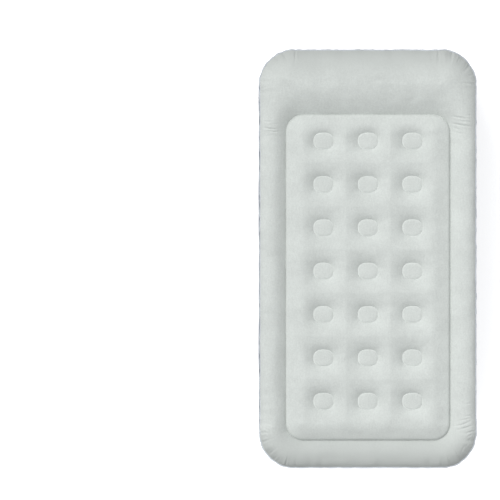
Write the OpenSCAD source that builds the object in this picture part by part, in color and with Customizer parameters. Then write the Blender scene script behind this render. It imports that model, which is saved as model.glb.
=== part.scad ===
// Raised single air mattress with a built-in electric pump and a screw valve.
// It lies flat on the floor: X runs across it, the pillow is at +Y, the pump end is at -Y, +Z is up.
// The origin is the middle of its underside. Every skin is a closed shell with open air inside it.

/* [Mattress] */
// Width over the side tubes
mattress_w = 990; // [900:1:1100]
// Length over the end tubes
mattress_l = 1905; // [1850:1:2000]
// Outer corner radius seen from above
corner_r = 150; // [130:1:180]
// Thickness of the plastic sheet
sheet_t = 0.6; // [0.5:0.1:0.8]

/* [Heights] */
// Bottom seam above the floor
bottom_seam_z = 8; // [6:1:12]
// Lower waist seam above the floor
low_waist_z = 145; // [135:1:150]
// Upper waist seam above the floor
high_waist_z = 333; // [328:1:340]
// Top seam, where the flocked sheet meets the side wall
top_seam_z = 437; // [432:1:445]
// Crest of the border tube
border_crest_z = 458; // [452:1:465]
// Crest of the built-in pillow
pillow_crest_z = 487; // [475:1:500]
// Groove between the border and the sleeping panel
groove_z = 424; // [418:1:430]
// Flat top of the sleeping panel
panel_z = 450.5; // [446:0.5:454]
// Floor of each dimple
dimple_z = 430; // [426:1:434]

/* [Sleeping panel] */
// Border width at the two long sides
border_w = 122; // [115:1:130]
// Border width at the pump end
foot_border_w = 128; // [120:1:135]
// Length of the pillow, from the head end to the panel
pillow_l = 297; // [280:1:310]
// Corner radius of the panel
panel_r = 80; // [60:1:90]
// Dimple spacing across and along
dimple_pitch = [202, 197];
// Distance from the panel's head edge to the first row of dimples
first_row = 120; // [115:1:130]
// Half width of a dimple's flat floor
dimple_r = 38; // [36:1:42]
// Rows of dimples
dimple_rows = 7; // [5:1:7]
// Columns of dimples
dimple_cols = 3; // [3:2:3]

/* [Pump] */
// Pump centre across the mattress
pump_x = 82; // [60:1:100]
// Pump centre above the floor
pump_z = 236; // [234:1:240]
// Fascia width and height
fascia = [192, 97];
// Depth of the pump housing behind the fascia
housing_d = 110; // [110:1:120]
// Dial centre across the fascia
dial_x = 38; // [33:1:38]
// Radius of the dial knob's skirt
knob_r = 27; // [25:1:28]
// Intake slots beside the dial
vent_slots = 7; // [5:1:7]

/* [Valve] */
// Valve centre across the mattress
valve_x = -114; // [-150:1:-100]
// Valve centre above the floor
valve_z = 240; // [236:1:242]
// Outer radius of the welded valve flange
valve_flange_r = 33.5; // [33:0.5:36]
// Inner radius of the valve neck
neck_r = 16.2; // [16:0.1:16.4]

/* [Hidden] */
$fn = 48;
// sheet colours
navy = "#2b3d66";
flock = "#c9d0cd";
inner_sheet = "#8f98a8";
dark = "#3c3b3f";
// insets of the side wall's seams and crowns from the widest line
bottom_seam_in = 45;
low_crown_z = 78;
low_waist_in = 26;
flat_in = 8;
flat_z0 = 166;
flat_z1 = 311;
high_waist_in = 22;
high_crown_in = 2;
high_crown_z = 388;
top_seam_in = 12;
arc_steps = 6;
// plan of the sleeping panel
panel_x = mattress_w / 2 - border_w;
panel_y0 = -mattress_l / 2 + foot_border_w;
panel_y1 = mattress_l / 2 - pillow_l;
lip = 4;
// faces that the pump and the valve are set out from
wall_y = -mattress_l / 2 + flat_in;
fascia_y = wall_y + 6;
fascia_t = 2.5;
housing = [188, 92];
housing_t = 2;
collar = [193, 98];
collar_t = 1.6;
frame_outer = [236, 136];
frame_bead = [214, 116];
bead_h = 6;
flange_t = 1.2;
door_x = [-84, -32];
door_z = [-40.7, 39];
door_hinge = [3, -38.8];
pin_r = 1.2;
insert_x = [-29, 27];
insert_h = 87;
insert_t = 0.8;
shaft_r = 5;
drum_r = 29.5;
drum_d = [8, 40];
bulkhead_d = 42;
scroll_d = [44, 66];
outlet_d = 55;
outlet_r = 8.4;
motor_r = 21;
motor_d = [68, 104];
screw_spots = [[-90, 40], [-90, -40], [83, 38], [83, -38]];
flap_hinge = [70, 48.4];
flapper_hinge = [31.4, 19.6];
seal_t = 1.6;
plug_l = 10;
cup_r = 28;
cup_d = 18;
cap_r = 21;
neck_d = [3.6, 30];
coil_r = dimple_r * 0.83 - 1;
dimple_slope = 9;
dimple_oval = 0.83;
ink_t = 0.2;
gap = 0.3;

// ---- shapes that repeat ----

// one quarter of a bulge, from its crown (inset a, height b) to a seam (inset c, height d); skin is how far inside
function arc_point(a, b, c, d, k, skin) =
    let (r = ((d - b) * (d - b) + (c - a) * (c - a)) / (2 * (c - a)),
         end = asin(abs(d - b) / r),
         turn = end * k / arc_steps,
         up = d > b ? 1 : -1)
    [a + r - (r - skin) * cos(turn), b + up * (r - skin) * sin(turn)];

// outline of a bulged skin in (inset, height), from its lower seam over its crown or crowns to its upper seam
function bulge(low, crown_low, crown_high, high) =
    let (side = function(skin) concat(
            [for (k = [arc_steps:-1:0]) arc_point(crown_low[0], crown_low[1], low[0], low[1], k, skin)],
            [for (k = [crown_low == crown_high ? 1 : 0:arc_steps])
                arc_point(crown_high[0], crown_high[1], high[0], high[1], k, skin)]),
         inside = side(sheet_t))
    concat(side(0), [for (k = [len(inside) - 1:-1:0]) inside[k]]);

// carries a section given as (inset, height) once round the mattress
module round_the_mattress(section) {
    w = mattress_w / 2 - corner_r;
    l = mattress_l / 2 - corner_r;
    for (s = [-1, 1]) {
        mirror([s < 0 ? 1 : 0, 0, 0])
            translate([mattress_w / 2, l, 0])
                rotate([90, 0, 0])
                    linear_extrude(2 * l)
                        polygon([for (p = section) [-p[0], p[1]]]);
        rotate([0, 0, s > 0 ? 90 : -90])
            translate([mattress_l / 2, w, 0])
                rotate([90, 0, 0])
                    linear_extrude(2 * w)
                        polygon([for (p = section) [-p[0], p[1]]]);
    }
    for (c = [[1, 1, 0], [-1, 1, 90], [-1, -1, 180], [1, -1, 270]])
        translate([c[0] * w, c[1] * l, 0])
            rotate([0, 0, c[2]])
                rotate_extrude(angle = 90, $fn = 96)
                    polygon([for (p = section) [corner_r - p[0], p[1]]]);
}

// a flat rectangle with round corners, centred
module rounded(size, r) {
    square([size[0] - 2 * r, size[1]], center = true);
    square([size[0], size[1] - 2 * r], center = true);
    for (x = [-1, 1], y = [-1, 1])
        translate([x * (size[0] / 2 - r), y * (size[1] / 2 - r)])
            circle(r);
}

// the mattress's plan, drawn in by an inset
module plan(inset) {
    rounded([mattress_w - 2 * inset, mattress_l - 2 * inset], corner_r - inset);
}

// the panel's plan, drawn in by an inset
module panel_plan(inset) {
    translate([0, (panel_y0 + panel_y1) / 2])
        rounded([2 * panel_x - 2 * inset, panel_y1 - panel_y0 - 2 * inset], panel_r - inset);
}

// the centre of every dimple and coil beam
module at_dimples() {
    for (i = [0:dimple_cols - 1], j = [0:dimple_rows - 1])
        translate([(i - (dimple_cols - 1) / 2) * dimple_pitch[0],
            panel_y1 - first_row - j * dimple_pitch[1], 0])
            children();
}

// the pump's own frame: x across, y is the depth behind the fascia's face, z up
module at_pump() {
    translate([pump_x, fascia_y, pump_z])
        children();
}

// the valve's own frame: y is the depth behind the side wall's face
module at_valve() {
    translate([valve_x, wall_y, valve_z])
        children();
}

// a plate standing across Y, from depth d0 to d1, drawn by the children in (x, z)
module upright(d0, d1) {
    translate([0, d1, 0])
        rotate([90, 0, 0])
            linear_extrude(d1 - d0)
                children();
}

// a round bar along Y
module bar(r, d0, d1) {
    translate([0, d0, 0])
        rotate([-90, 0, 0])
            cylinder(r = r, h = d1 - d0);
}

// a box from its low corner to its high corner
module block(low, high) {
    translate(low)
        cube(high - low);
}

// ---- the bladder's skins ----

module bottom_sheet() {
    color(navy) {
        linear_extrude(sheet_t)
            plan(62);
        round_the_mattress([[62, 0], [46, 7.2], [46.6, 7.6], [62.4, sheet_t]]);
    }
}

module lower_wall() {
    color(navy)
        round_the_mattress(bulge([bottom_seam_in, bottom_seam_z], [0, low_crown_z], [0, low_crown_z],
            [low_waist_in, low_waist_z]));
}

// the pump's collar and the valve's cup pass through this wall
module middle_wall() {
    color(navy)
        difference() {
            round_the_mattress(bulge([low_waist_in, low_waist_z], [flat_in, flat_z0],
                [flat_in, flat_z1], [high_waist_in, high_waist_z]));
            at_pump()
                upright(-20, 20)
                    rounded([collar[0] + 2 * collar_t + 1, collar[1] + 2 * collar_t + 1], 8);
            at_valve()
                bar(cup_r + 2, -10, 10);
        }
}

module upper_wall() {
    color(navy)
        round_the_mattress(bulge([high_waist_in, high_waist_z], [high_crown_in, high_crown_z],
            [high_crown_in, high_crown_z], [top_seam_in, top_seam_z]));
}

module bottom_seam_weld() {
    color(navy)
        translate([0, 0, bottom_seam_z - 1])
            linear_extrude(1)
                difference() {
                    plan(bottom_seam_in - lip);
                    plan(bottom_seam_in + 0.8);
                }
}

module top_seam_weld() {
    color(navy)
        translate([0, 0, top_seam_z])
            linear_extrude(1)
                difference() {
                    plan(top_seam_in - lip);
                    plan(top_seam_in - 0.05);
                }
}

// points round a rectangle with round corners, anticlockwise from the +X side, the same number for any size
side_steps = 8;
end_steps = 5;
corner_steps = 10;
function corner_points(centre, r, from) =
    [for (k = [0:corner_steps]) centre + r * [cos(from + 90 * k / corner_steps), sin(from + 90 * k / corner_steps)]];
function between(a, b, steps) = [for (k = [1:steps - 1]) a + (b - a) * k / steps];
function outline(x, y0, y1, r) =
    let (c = [[x - r, y1 - r], [-x + r, y1 - r], [-x + r, y0 + r], [x - r, y0 + r]],
         arcs = [for (i = [0:3]) corner_points(c[i], r, 90 * i)],
         n = corner_steps)
    concat(arcs[0], between(arcs[0][n], arcs[1][0], end_steps),
        arcs[1], between(arcs[1][n], arcs[2][0], side_steps),
        arcs[2], between(arcs[2][n], arcs[3][0], end_steps),
        arcs[3], between(arcs[3][n], arcs[0][0], side_steps));
function smooth(t) = let (u = min(1, max(0, t))) u * u * (3 - 2 * u);

// border tube and pillow in one flocked sheet: a skin that rises from the top seam and falls to the groove
border_steps = 9;
crest_at = 0.44;
function crest_z(y) = border_crest_z + (pillow_crest_z - border_crest_z) * smooth((y - panel_y1 + 90) / 150);
function border_z(u, top) =
    u < crest_at
        ? top - (top - top_seam_z) * pow((crest_at - u) / crest_at, 2)
        : top - (top - groove_z) * pow((u - crest_at) / (1 - crest_at), 2);
module border_sheet() {
    start = top_seam_in + 0.1;
    outer = outline(mattress_w / 2 - start, -mattress_l / 2 + start, mattress_l / 2 - start, corner_r - start);
    inner = outline(panel_x + 0.6, panel_y0 - 0.6, panel_y1 + 0.6, panel_r + 0.6);
    n = len(outer);
    m = border_steps + 1;
    skin = 1;
    points = [for (i = [0:n - 1], side = [0, 1], j = [0:border_steps])
        let (u = (side == 0 ? j : border_steps - j) / border_steps,
             p = outer[i] + (inner[i] - outer[i]) * u,
             top = crest_z((outer[i][1] + inner[i][1]) / 2))
        [p[0], p[1], border_z(u, top) + (1 - side) * skin]];
    // both sides are cut along the same diagonals, so that the skin keeps its thickness
    faces = [for (i = [0:n - 1], j = [0:2 * m - 1], half = [0, 1])
        let (a = i * 2 * m, b = ((i + 1) % n) * 2 * m, k = (j + 1) % (2 * m))
        j < m
            ? (half == 0 ? [a + j, a + k, b + k] : [a + j, b + k, b + j])
            : (half == 0 ? [a + j, a + k, b + j] : [a + k, b + k, b + j])];
    color(flock)
        polyhedron(points = points, faces = faces, convexity = 6);
}

// raised pad with a rolled edge and a cup at every dimple
module sleeping_panel() {
    t = 0.8;
    rise = dimple_z - panel_z;
    edge = [[0, groove_z], [4, 440], [12, 448], [22, panel_z], [22, panel_z - t],
        [12.4, 448 - t], [4.7, 439.6], [t, groove_z]];
    w = panel_x - panel_r;
    half_l = (panel_y1 - panel_y0) / 2 - panel_r;
    color(flock)
        translate([0, (panel_y0 + panel_y1) / 2, 0]) {
            for (s = [0, 180]) {
                rotate([0, 0, s])
                    translate([panel_x, half_l, 0])
                        rotate([90, 0, 0])
                            linear_extrude(2 * half_l)
                                polygon([for (p = edge) [-p[0], p[1]]]);
                rotate([0, 0, s + 90])
                    translate([half_l + panel_r, w, 0])
                        rotate([90, 0, 0])
                            linear_extrude(2 * w)
                                polygon([for (p = edge) [-p[0], p[1]]]);
            }
            for (c = [[1, 1, 0], [-1, 1, 90], [-1, -1, 180], [1, -1, 270]])
                translate([c[0] * w, c[1] * half_l, 0])
                    rotate([0, 0, c[2]])
                        rotate_extrude(angle = 90)
                            polygon([for (p = edge) [panel_r - p[0], p[1]]]);
        }
    color(flock)
        difference() {
            translate([0, 0, panel_z - t])
                linear_extrude(t)
                    panel_plan(22);
            at_dimples()
                translate([0, 0, panel_z - 5])
                    scale([1, dimple_oval, 1])
                        cylinder(r = dimple_r + dimple_slope, h = 10);
        }
    color(flock)
        at_dimples()
            scale([1, dimple_oval, 1])
                rotate_extrude()
                    polygon([[0, dimple_z], [dimple_r, dimple_z], [dimple_r + dimple_slope, panel_z],
                        [dimple_r + dimple_slope, panel_z - t], [dimple_r, dimple_z - t], [0, dimple_z - t]]);
}

// ---- the sheets inside that hold the shape ----

module upper_diaphragm() {
    color(inner_sheet)
        difference() {
            translate([0, 0, high_waist_z - sheet_t / 2])
                linear_extrude(sheet_t)
                    plan(high_waist_in + 0.7);
            for (x = [-1, 1], j = [0:dimple_rows - 2])
                translate([x * dimple_pitch[0] / 2, panel_y1 - first_row - (j + 0.5) * dimple_pitch[1],
                    high_waist_z - 2])
                    cylinder(r = 18, h = 4);
            for (x = [-1, 1], y = [-0.6, 0, 0.6])
                translate([x * (panel_x + 50), y * mattress_l / 2, high_waist_z - 2])
                    cylinder(r = 14, h = 4);
        }
}

module lower_diaphragm() {
    color(inner_sheet)
        difference() {
            translate([0, 0, low_waist_z - sheet_t / 2])
                linear_extrude(sheet_t)
                    plan(low_waist_in + 0.7);
            for (x = [-1.5, -0.5, 0.5, 1.5], y = [-0.66, -0.33, 0, 0.33, 0.66])
                translate([x * 250, y * mattress_l / 2, low_waist_z - 2])
                    cylinder(r = 18, h = 4);
        }
}

// a tube under every dimple, with two air holes through its wall
module coil_beams() {
    low = high_waist_z + sheet_t / 2;
    color(inner_sheet)
        at_dimples()
            difference() {
                translate([0, 0, low])
                    cylinder(r = coil_r, h = dimple_z - 0.8 - low);
                translate([0, 0, low - 1])
                    cylinder(r = coil_r - sheet_t, h = 120);
                translate([0, 0, (low + dimple_z) / 2])
                    rotate([0, 90, 0])
                        cylinder(r = 10, h = 3 * dimple_r, center = true);
            }
}

// the wall under the groove, between the border tube and the panel
module baffle_ring() {
    low = high_waist_z + sheet_t / 2;
    color(inner_sheet)
        translate([0, 0, low])
            linear_extrude(groove_z - 0.2 - low)
                difference() {
                    panel_plan(1);
                    panel_plan(1 + sheet_t);
                }
}

// upright strips along the mattress, with air holes
module beams(z0, z1) {
    y0 = -mattress_l / 2 + 170;
    y1 = mattress_l / 2 - 80;
    color(inner_sheet)
        for (x = [-250, 0, 250])
            difference() {
                block([x - sheet_t / 2, y0, z0], [x + sheet_t / 2, y1, z1]);
                for (k = [1:6])
                    translate([x - 2, y0 + (y1 - y0) * k / 7, (z0 + z1) / 2])
                        rotate([0, 90, 0])
                            cylinder(r = 22, h = 4);
            }
}

module middle_beams() {
    beams(low_waist_z + sheet_t / 2, high_waist_z - sheet_t / 2);
}

module lower_beams() {
    beams(sheet_t, low_waist_z - sheet_t / 2);
}

// ---- the pump's soft mounting and its case ----

// soft rim welded to the side wall, with a collar that the pump sits in
module pump_frame() {
    face = wall_y - fascia_y;
    color(navy)
        at_pump() {
            upright(face - flange_t, face)
                difference() {
                    rounded(frame_outer, 22);
                    rounded(collar, 6);
                }
            upright(face - bead_h, face - flange_t)
                difference() {
                    rounded(frame_bead, 14);
                    rounded(collar, 6);
                }
            upright(face, 6.6)
                difference() {
                    rounded([collar[0] + 2 * collar_t, collar[1] + 2 * collar_t], 7.6);
                    rounded(collar, 6);
                }
            upright(5, 6.6)
                difference() {
                    rounded(collar, 6);
                    rounded([housing[0] + 0.6, housing[1] + 0.6], 4.3);
                }
        }
}

// hard ring that clamps the collar's lip from inside
module clamp_frame() {
    color(dark)
        at_pump()
            upright(6.6, 8.6)
                difference() {
                    rounded([200, 104], 8);
                    rounded(housing, 4);
                }
}

module fascia_gasket() {
    color("#202022")
        at_pump()
            upright(fascia_t, 5)
                difference() {
                    rounded([collar[0] - 0.6, collar[1] - 0.6], 5.5);
                    rounded(housing, 4);
                }
}

// case with a cord tray on the left and the fan and motor space on the right
module pump_housing() {
    w = housing[0] / 2;
    h = housing[1] / 2;
    t = housing_t;
    color(dark)
        at_pump()
            difference() {
                union() {
                    difference() {
                        upright(fascia_t, housing_d)
                            rounded(housing, 4);
                        block([-w + t, 0, -h + t], [-30, 76, h - t]);
                        block([-w + t, 78, -h + t], [-30, housing_d - t, h - t]);
                        block([-28.5, 0, -h + t], [w - t, housing_d - t, h - t]);
                    }
                    for (s = screw_spots) {
                        translate([s[0], 0, s[1]])
                            bar(4, fascia_t, 30);
                        block([s[0] - 2, fascia_t, s[1] > 0 ? s[1] : -h], [s[0] + 2, 30, s[1] > 0 ? h : s[1]]);
                    }
                    for (x = [-1, 1])
                        block([dial_x + 8 * x - 1, flap_hinge[0] - 2.4, h], [dial_x + 8 * x + 1, flap_hinge[0] + 2.4, h + 4.6]);
                }
                for (s = screw_spots)
                    translate([s[0], 0, s[1]])
                        bar(1.4, -1, 26);
                translate([dial_x, outlet_d, h - 5])
                    cylinder(r = outlet_r, h = 8);
                translate([dial_x - 20, flap_hinge[0], flap_hinge[1]])
                    rotate([0, 90, 0])
                        cylinder(r = 1, h = 40);
                translate([-60, 0, -28])
                    bar(6, 70, 85);
            }
}

// the slots' heights beside the dial
vent_pitch = 8.6;
module fascia_plate() {
    color(dark)
        at_pump()
            difference() {
                upright(0, fascia_t)
                    rounded(fascia, 6);
                block([door_x[0] - gap, -1, door_z[0] - 2.9], [door_x[1] + gap, 5, door_z[1] + gap]);
                block([insert_x[0], -1, -insert_h / 2], [insert_x[1], insert_t, insert_h / 2]);
                translate([dial_x, 0, 0])
                    bar(shaft_r + 0.08, -1, 5);
                for (k = [0:vent_slots - 1])
                    translate([68, -1, (k - (vent_slots - 1) / 2) * vent_pitch - 1.6])
                        cube([21, 5, 3.2]);
                for (s = screw_spots)
                    translate([s[0], 0, s[1]]) {
                        bar(1.9, -1, 5);
                        bar(3.6, -1, 1);
                    }
                for (x = [-1, 1])
                    block([(door_x[0] + door_x[1]) / 2 + 27 * x - 3, 1, door_hinge[1] - 2],
                        [(door_x[0] + door_x[1]) / 2 + 27 * x + 3, 5, door_hinge[1] + 2]);
            }
}

// glossy plate that carries the dial's marks
module dial_plate() {
    color("#141416")
        at_pump()
            difference() {
                block([insert_x[0], 0, -insert_h / 2], [insert_x[1], insert_t, insert_h / 2]);
                translate([dial_x, 0, 0])
                    bar(shaft_r + 3, -1, 5);
            }
}

module fascia_screws() {
    color("#8a8b8e")
        at_pump()
            for (s = screw_spots)
                translate([s[0], 0, s[1]])
                    difference() {
                        union() {
                            bar(3.4, -0.6, 1);
                            bar(1.4, 1, 22);
                        }
                        block([-2.2, -1, -0.4], [2.2, 0.2, 0.4]);
                        block([-0.4, -1, -2.2], [0.4, 0.2, 2.2]);
                    }
}

// flap over the cord tray, with a finger slot and two hinge knuckles
module cord_door() {
    mid = (door_x[0] + door_x[1]) / 2;
    color("#55555a")
        at_pump()
            difference() {
                union() {
                    block([door_x[0], 0.3, door_z[0]], [door_x[1], 2.3, door_z[1]]);
                    for (x = [-1, 1])
                        translate([mid + 18 * x - 5, door_hinge[0], door_hinge[1]])
                            rotate([0, 90, 0])
                                cylinder(r = 2.4, h = 10);
                }
                block([mid - 10, -1, 27], [mid + 10, 5, 32.4]);
                translate([mid - 40, door_hinge[0], door_hinge[1]])
                    rotate([0, 90, 0])
                        cylinder(r = pin_r + 0.06, h = 80);
            }
}

// the ends of the pin sit in notches behind the fascia
module door_pin() {
    color("#9a9a9c")
        at_pump()
            translate([(door_x[0] + door_x[1]) / 2 - 28, door_hinge[0], door_hinge[1]])
                rotate([0, 90, 0])
                    cylinder(r = pin_r, h = 56);
}

module cord_gland() {
    color("#202022")
        at_pump()
            translate([-60, 0, -28])
                difference() {
                    union() {
                        bar(8.5, 74.5, 76);
                        bar(5.95, 76, 78);
                        bar(8.5, 78, 80);
                    }
                    bar(3.2, 70, 90);
                }
}

// ---- what the dial turns ----

module dial_knob() {
    color("#454549")
        at_pump()
            translate([dial_x, 0, 0])
                difference() {
                    union() {
                        bar(knob_r, -5, -0.5);
                        translate([0, -11, 0])
                            rotate([-90, 0, 0])
                                cylinder(r1 = 17.5, r2 = 20, h = 6);
                        translate([0, -13, 0])
                            rotate([-90, 0, 0])
                                cylinder(r1 = 12.5, r2 = 17.5, h = 2);
                    }
                    bar(shaft_r + 0.02, -9, 5);
                }
}

module selector_drum() {
    color("#6a6a6e")
        at_pump()
            translate([dial_x, 0, 0]) {
                bar(shaft_r, -9, drum_d[0]);
                difference() {
                    bar(drum_r, drum_d[0], drum_d[1]);
                    bar(drum_r - 2, drum_d[0] + 2, drum_d[1] + 1);
                    block([-13, 14, -40], [13, 34, 40]);
                }
            }
}

module air_sleeve() {
    color("#5a5a5e")
        at_pump()
            translate([dial_x, 0, 0])
                difference() {
                    bar(drum_r + 2.5, 6, bulkhead_d);
                    bar(drum_r + 0.5, 5, bulkhead_d + 1);
                    block([-13, 14, 0], [13, 34, 40]);
                    block([-40, 14, -13], [0, 34, 13]);
                    block([20, 11, 2], [40, 17, 9]);
                }
}

// ---- fan and motor ----

module fan_scroll() {
    w = housing[0] / 2 - housing_t;
    h = housing[1] / 2 - housing_t;
    color("#5a5a5e")
        at_pump()
            difference() {
                union() {
                    block([-28.5, bulkhead_d, -h], [w, scroll_d[0], h]);
                    translate([dial_x, 0, 0])
                        bar(35, scroll_d[0], motor_d[0]);
                    translate([dial_x, outlet_d, 0])
                        cylinder(r = outlet_r + 2, h = h);
                }
                translate([dial_x, 0, 0]) {
                    bar(33, scroll_d[0], scroll_d[1]);
                    bar(14, bulkhead_d - 1, scroll_d[0] + 1);
                    bar(6, scroll_d[1] - 1, motor_d[0] + 1);
                }
                translate([dial_x, outlet_d, 0])
                    cylinder(r = outlet_r, h = h + 5);
            }
}

module fan_impeller() {
    color("#c8c8c4")
        at_pump()
            translate([dial_x, 0, 0])
                difference() {
                    union() {
                        bar(5, 48, 64);
                        bar(28, 62, 64);
                        for (k = [0:9])
                            rotate([0, 36 * k, 0])
                                block([4, 50, -0.8], [28, 62.5, 0.8]);
                    }
                    bar(1.6, 40, 70);
                }
}

module motor_shaft() {
    color("silver")
        at_pump()
            translate([dial_x, 0, 0])
                bar(1.58, 49, 75);
}

module motor_can() {
    color("#a8a8a6")
        at_pump()
            translate([dial_x, 0, 0])
                difference() {
                    union() {
                        bar(motor_r, motor_d[0], motor_d[1]);
                        bar(12, motor_d[1], housing_d - housing_t);
                    }
                    bar(1.63, motor_d[0] - 1, 76);
                }
}

// switch box beside the drum
module cut_off_switch() {
    color("#1a1a1c")
        at_pump()
            union() {
                block([76, 9, -10], [82.5, 19, 10]);
                block([dial_x + drum_r + 0.5, 12, 4], [76, 16, 7]);
                block([82.5, 11, -6], [housing[0] / 2 - housing_t, 17, 6]);
            }
}

// non-return flap lying on the pump's outlet
module outlet_flap() {
    color("#9fb4bd")
        at_pump()
            difference() {
                union() {
                    translate([dial_x, outlet_d, housing[1] / 2 + gap])
                        cylinder(r = outlet_r + 3, h = 1.2);
                    block([dial_x - 5, outlet_d + 8, housing[1] / 2 + gap],
                        [dial_x + 5, flap_hinge[0], housing[1] / 2 + gap + 1.2]);
                    translate([dial_x - 5, flap_hinge[0], flap_hinge[1]])
                        rotate([0, 90, 0])
                            cylinder(r = 2, h = 10);
                }
                translate([dial_x - 20, flap_hinge[0], flap_hinge[1]])
                    rotate([0, 90, 0])
                        cylinder(r = 1.05, h = 40);
            }
}

module outlet_flap_pin() {
    color("silver")
        at_pump()
            translate([dial_x - 9, flap_hinge[0], flap_hinge[1]])
                rotate([0, 90, 0])
                    cylinder(r = 0.99, h = 18);
}

// ---- the screw valve ----

// soft ring and cup welded into the side wall
module valve_flange() {
    color(navy)
        at_valve()
            difference() {
                union() {
                    bar(valve_flange_r, -flange_t, 0);
                    bar(cup_r + 3, -2.6, 0);
                    bar(cup_r + 1.5, 0, cup_d);
                }
                bar(cup_r, -5, cup_d - 1.5);
                bar(neck_r + 2.4, 0, cup_d + 1);
            }
}

// hard neck glued into the cup
module valve_body() {
    color("#1d2438")
        at_valve()
            difference() {
                union() {
                    bar(neck_r + 2.4, neck_d[0], neck_d[1]);
                    bar(neck_r + 8, cup_d - 3, cup_d - 1.5);
                    for (x = [-1, 1])
                        block([8 * x - 1, 26, neck_r + 1], [8 * x + 1, flapper_hinge[0] + 2, flapper_hinge[1] + 2]);
                }
                bar(neck_r, neck_d[0] - 1, neck_d[1] + 1);
                block([-20, neck_d[1], -20], [20, neck_d[1] + 5, flapper_hinge[1] - 2]);
                translate([-15, flapper_hinge[0], flapper_hinge[1]])
                    rotate([0, 90, 0])
                        cylinder(r = 1, h = 30);
            }
}

// screw plug with a grip bar
module valve_cap() {
    color("#15181f")
        at_valve() {
            bar(neck_r - 0.5, 2, 2 + plug_l);
            bar(cap_r, 0, 2);
            intersection() {
                bar(cap_r - 1.5, -5.5, 0);
                union() {
                    block([-cap_r, -5.5, -3.2], [cap_r, 0, 3.2]);
                    block([-4.5, -5.5, -cap_r], [4.5, 0, cap_r]);
                }
            }
        }
}

module cap_seal() {
    color("#2a2a2c")
        at_valve()
            difference() {
                bar(neck_r + 2, 2.02, 2 + seal_t - 0.02);
                bar(neck_r - 0.42, 0, 5);
            }
}

module valve_flapper() {
    color("#9fb4bd")
        at_valve()
            difference() {
                union() {
                    bar(neck_r + 1.6, neck_d[1] + gap, neck_d[1] + gap + 1.2);
                    block([-6, neck_d[1] + gap, neck_r - 1], [6, neck_d[1] + gap + 1.2, flapper_hinge[1]]);
                    translate([-6, flapper_hinge[0], flapper_hinge[1]])
                        rotate([0, 90, 0])
                            cylinder(r = 1.9, h = 12);
                }
                translate([-15, flapper_hinge[0], flapper_hinge[1]])
                    rotate([0, 90, 0])
                        cylinder(r = 1.05, h = 30);
                block([-7, neck_d[1] - 2, flapper_hinge[1] - 5], [7, neck_d[1] + gap, flapper_hinge[1] + 5]);
            }
}

module flapper_pin() {
    color("silver")
        at_valve()
            translate([-9, flapper_hinge[0], flapper_hinge[1]])
                rotate([0, 90, 0])
                    cylinder(r = 0.99, h = 18);
}

// ---- printed marks on the side wall ----

// a thin layer of ink that follows the wall's face, where the children stand in front of it
module ink() {
    color("#dfe3e8")
        intersection() {
            translate([0, 0, flat_z0])
                linear_extrude(flat_z1 - flat_z0)
                    difference() {
                        plan(flat_in - ink_t);
                        plan(flat_in);
                    }
            children();
        }
}

// a bar in front of the end wall, from one (x, z) to another
module stroke(low, high) {
    block([low[0], -mattress_l / 2 - 10, low[1]], [high[0], -mattress_l / 2 + 120, high[1]]);
}

// the outline of a rectangle, as a line of a given width
module frame_line(low, high, w) {
    difference() {
        stroke(low, high);
        block([low[0] + w, -mattress_l, low[1] + w], [high[0] - w, 0, high[1] - w]);
    }
}

// outlined panel with a heading bar and two columns of plain lines
module left_print() {
    low = [-441, 192.5];
    high = [-193, 287];
    ink()
        union() {
            frame_line(low, high, 1);
            stroke([low[0] + 4, high[1] - 21], [high[0] - 4, high[1] - 4]);
            for (k = [0:6], c = [0, 1])
                stroke([low[0] + 8 + 120 * c, low[1] + 6 + 9 * k], [low[0] + 118 + 120 * c, low[1] + 7.6 + 9 * k]);
        }
}

// outlined panel, parted in two: a barred ring on the left, a heading bar and plain lines on the right
module right_print() {
    low = [247, 194];
    high = [414, 289];
    part = 317;
    ink()
        union() {
            frame_line(low, high, 1);
            stroke([part, low[1]], [part + 1, high[1]]);
            stroke([part + 4, high[1] - 20], [high[0] - 3, high[1] - 4]);
            for (k = [0:6])
                stroke([part + 5, low[1] + 6 + 9 * k], [high[0] - 5, low[1] + 7.6 + 9 * k]);
            for (k = [0:1])
                stroke([low[0] + 8, low[1] + 6 + 8 * k], [part - 8, low[1] + 7.6 + 8 * k]);
            translate([282, -mattress_l / 2 - 10, 250]) {
                difference() {
                    bar(29, 0, 130);
                    bar(25.5, -1, 131);
                }
                rotate([0, 45, 0])
                    block([-26.5, 0, -1.6], [26.5, 130, 1.6]);
            }
        }
}

bottom_sheet();
lower_wall();
middle_wall();
upper_wall();
border_sheet();
sleeping_panel();
top_seam_weld();
bottom_seam_weld();
upper_diaphragm();
lower_diaphragm();
coil_beams();
baffle_ring();
middle_beams();
lower_beams();
pump_frame();
clamp_frame();
fascia_gasket();
pump_housing();
fascia_plate();
dial_plate();
fascia_screws();
cord_door();
door_pin();
cord_gland();
dial_knob();
selector_drum();
air_sleeve();
fan_scroll();
fan_impeller();
motor_shaft();
motor_can();
cut_off_switch();
outlet_flap();
outlet_flap_pin();
valve_flange();
valve_body();
valve_cap();
cap_seal();
valve_flapper();
flapper_pin();
left_print();
right_print();
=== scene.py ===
"""The looks of a raised air mattress: flocked sleeping top, navy side wall, built-in pump and screw valve."""

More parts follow.
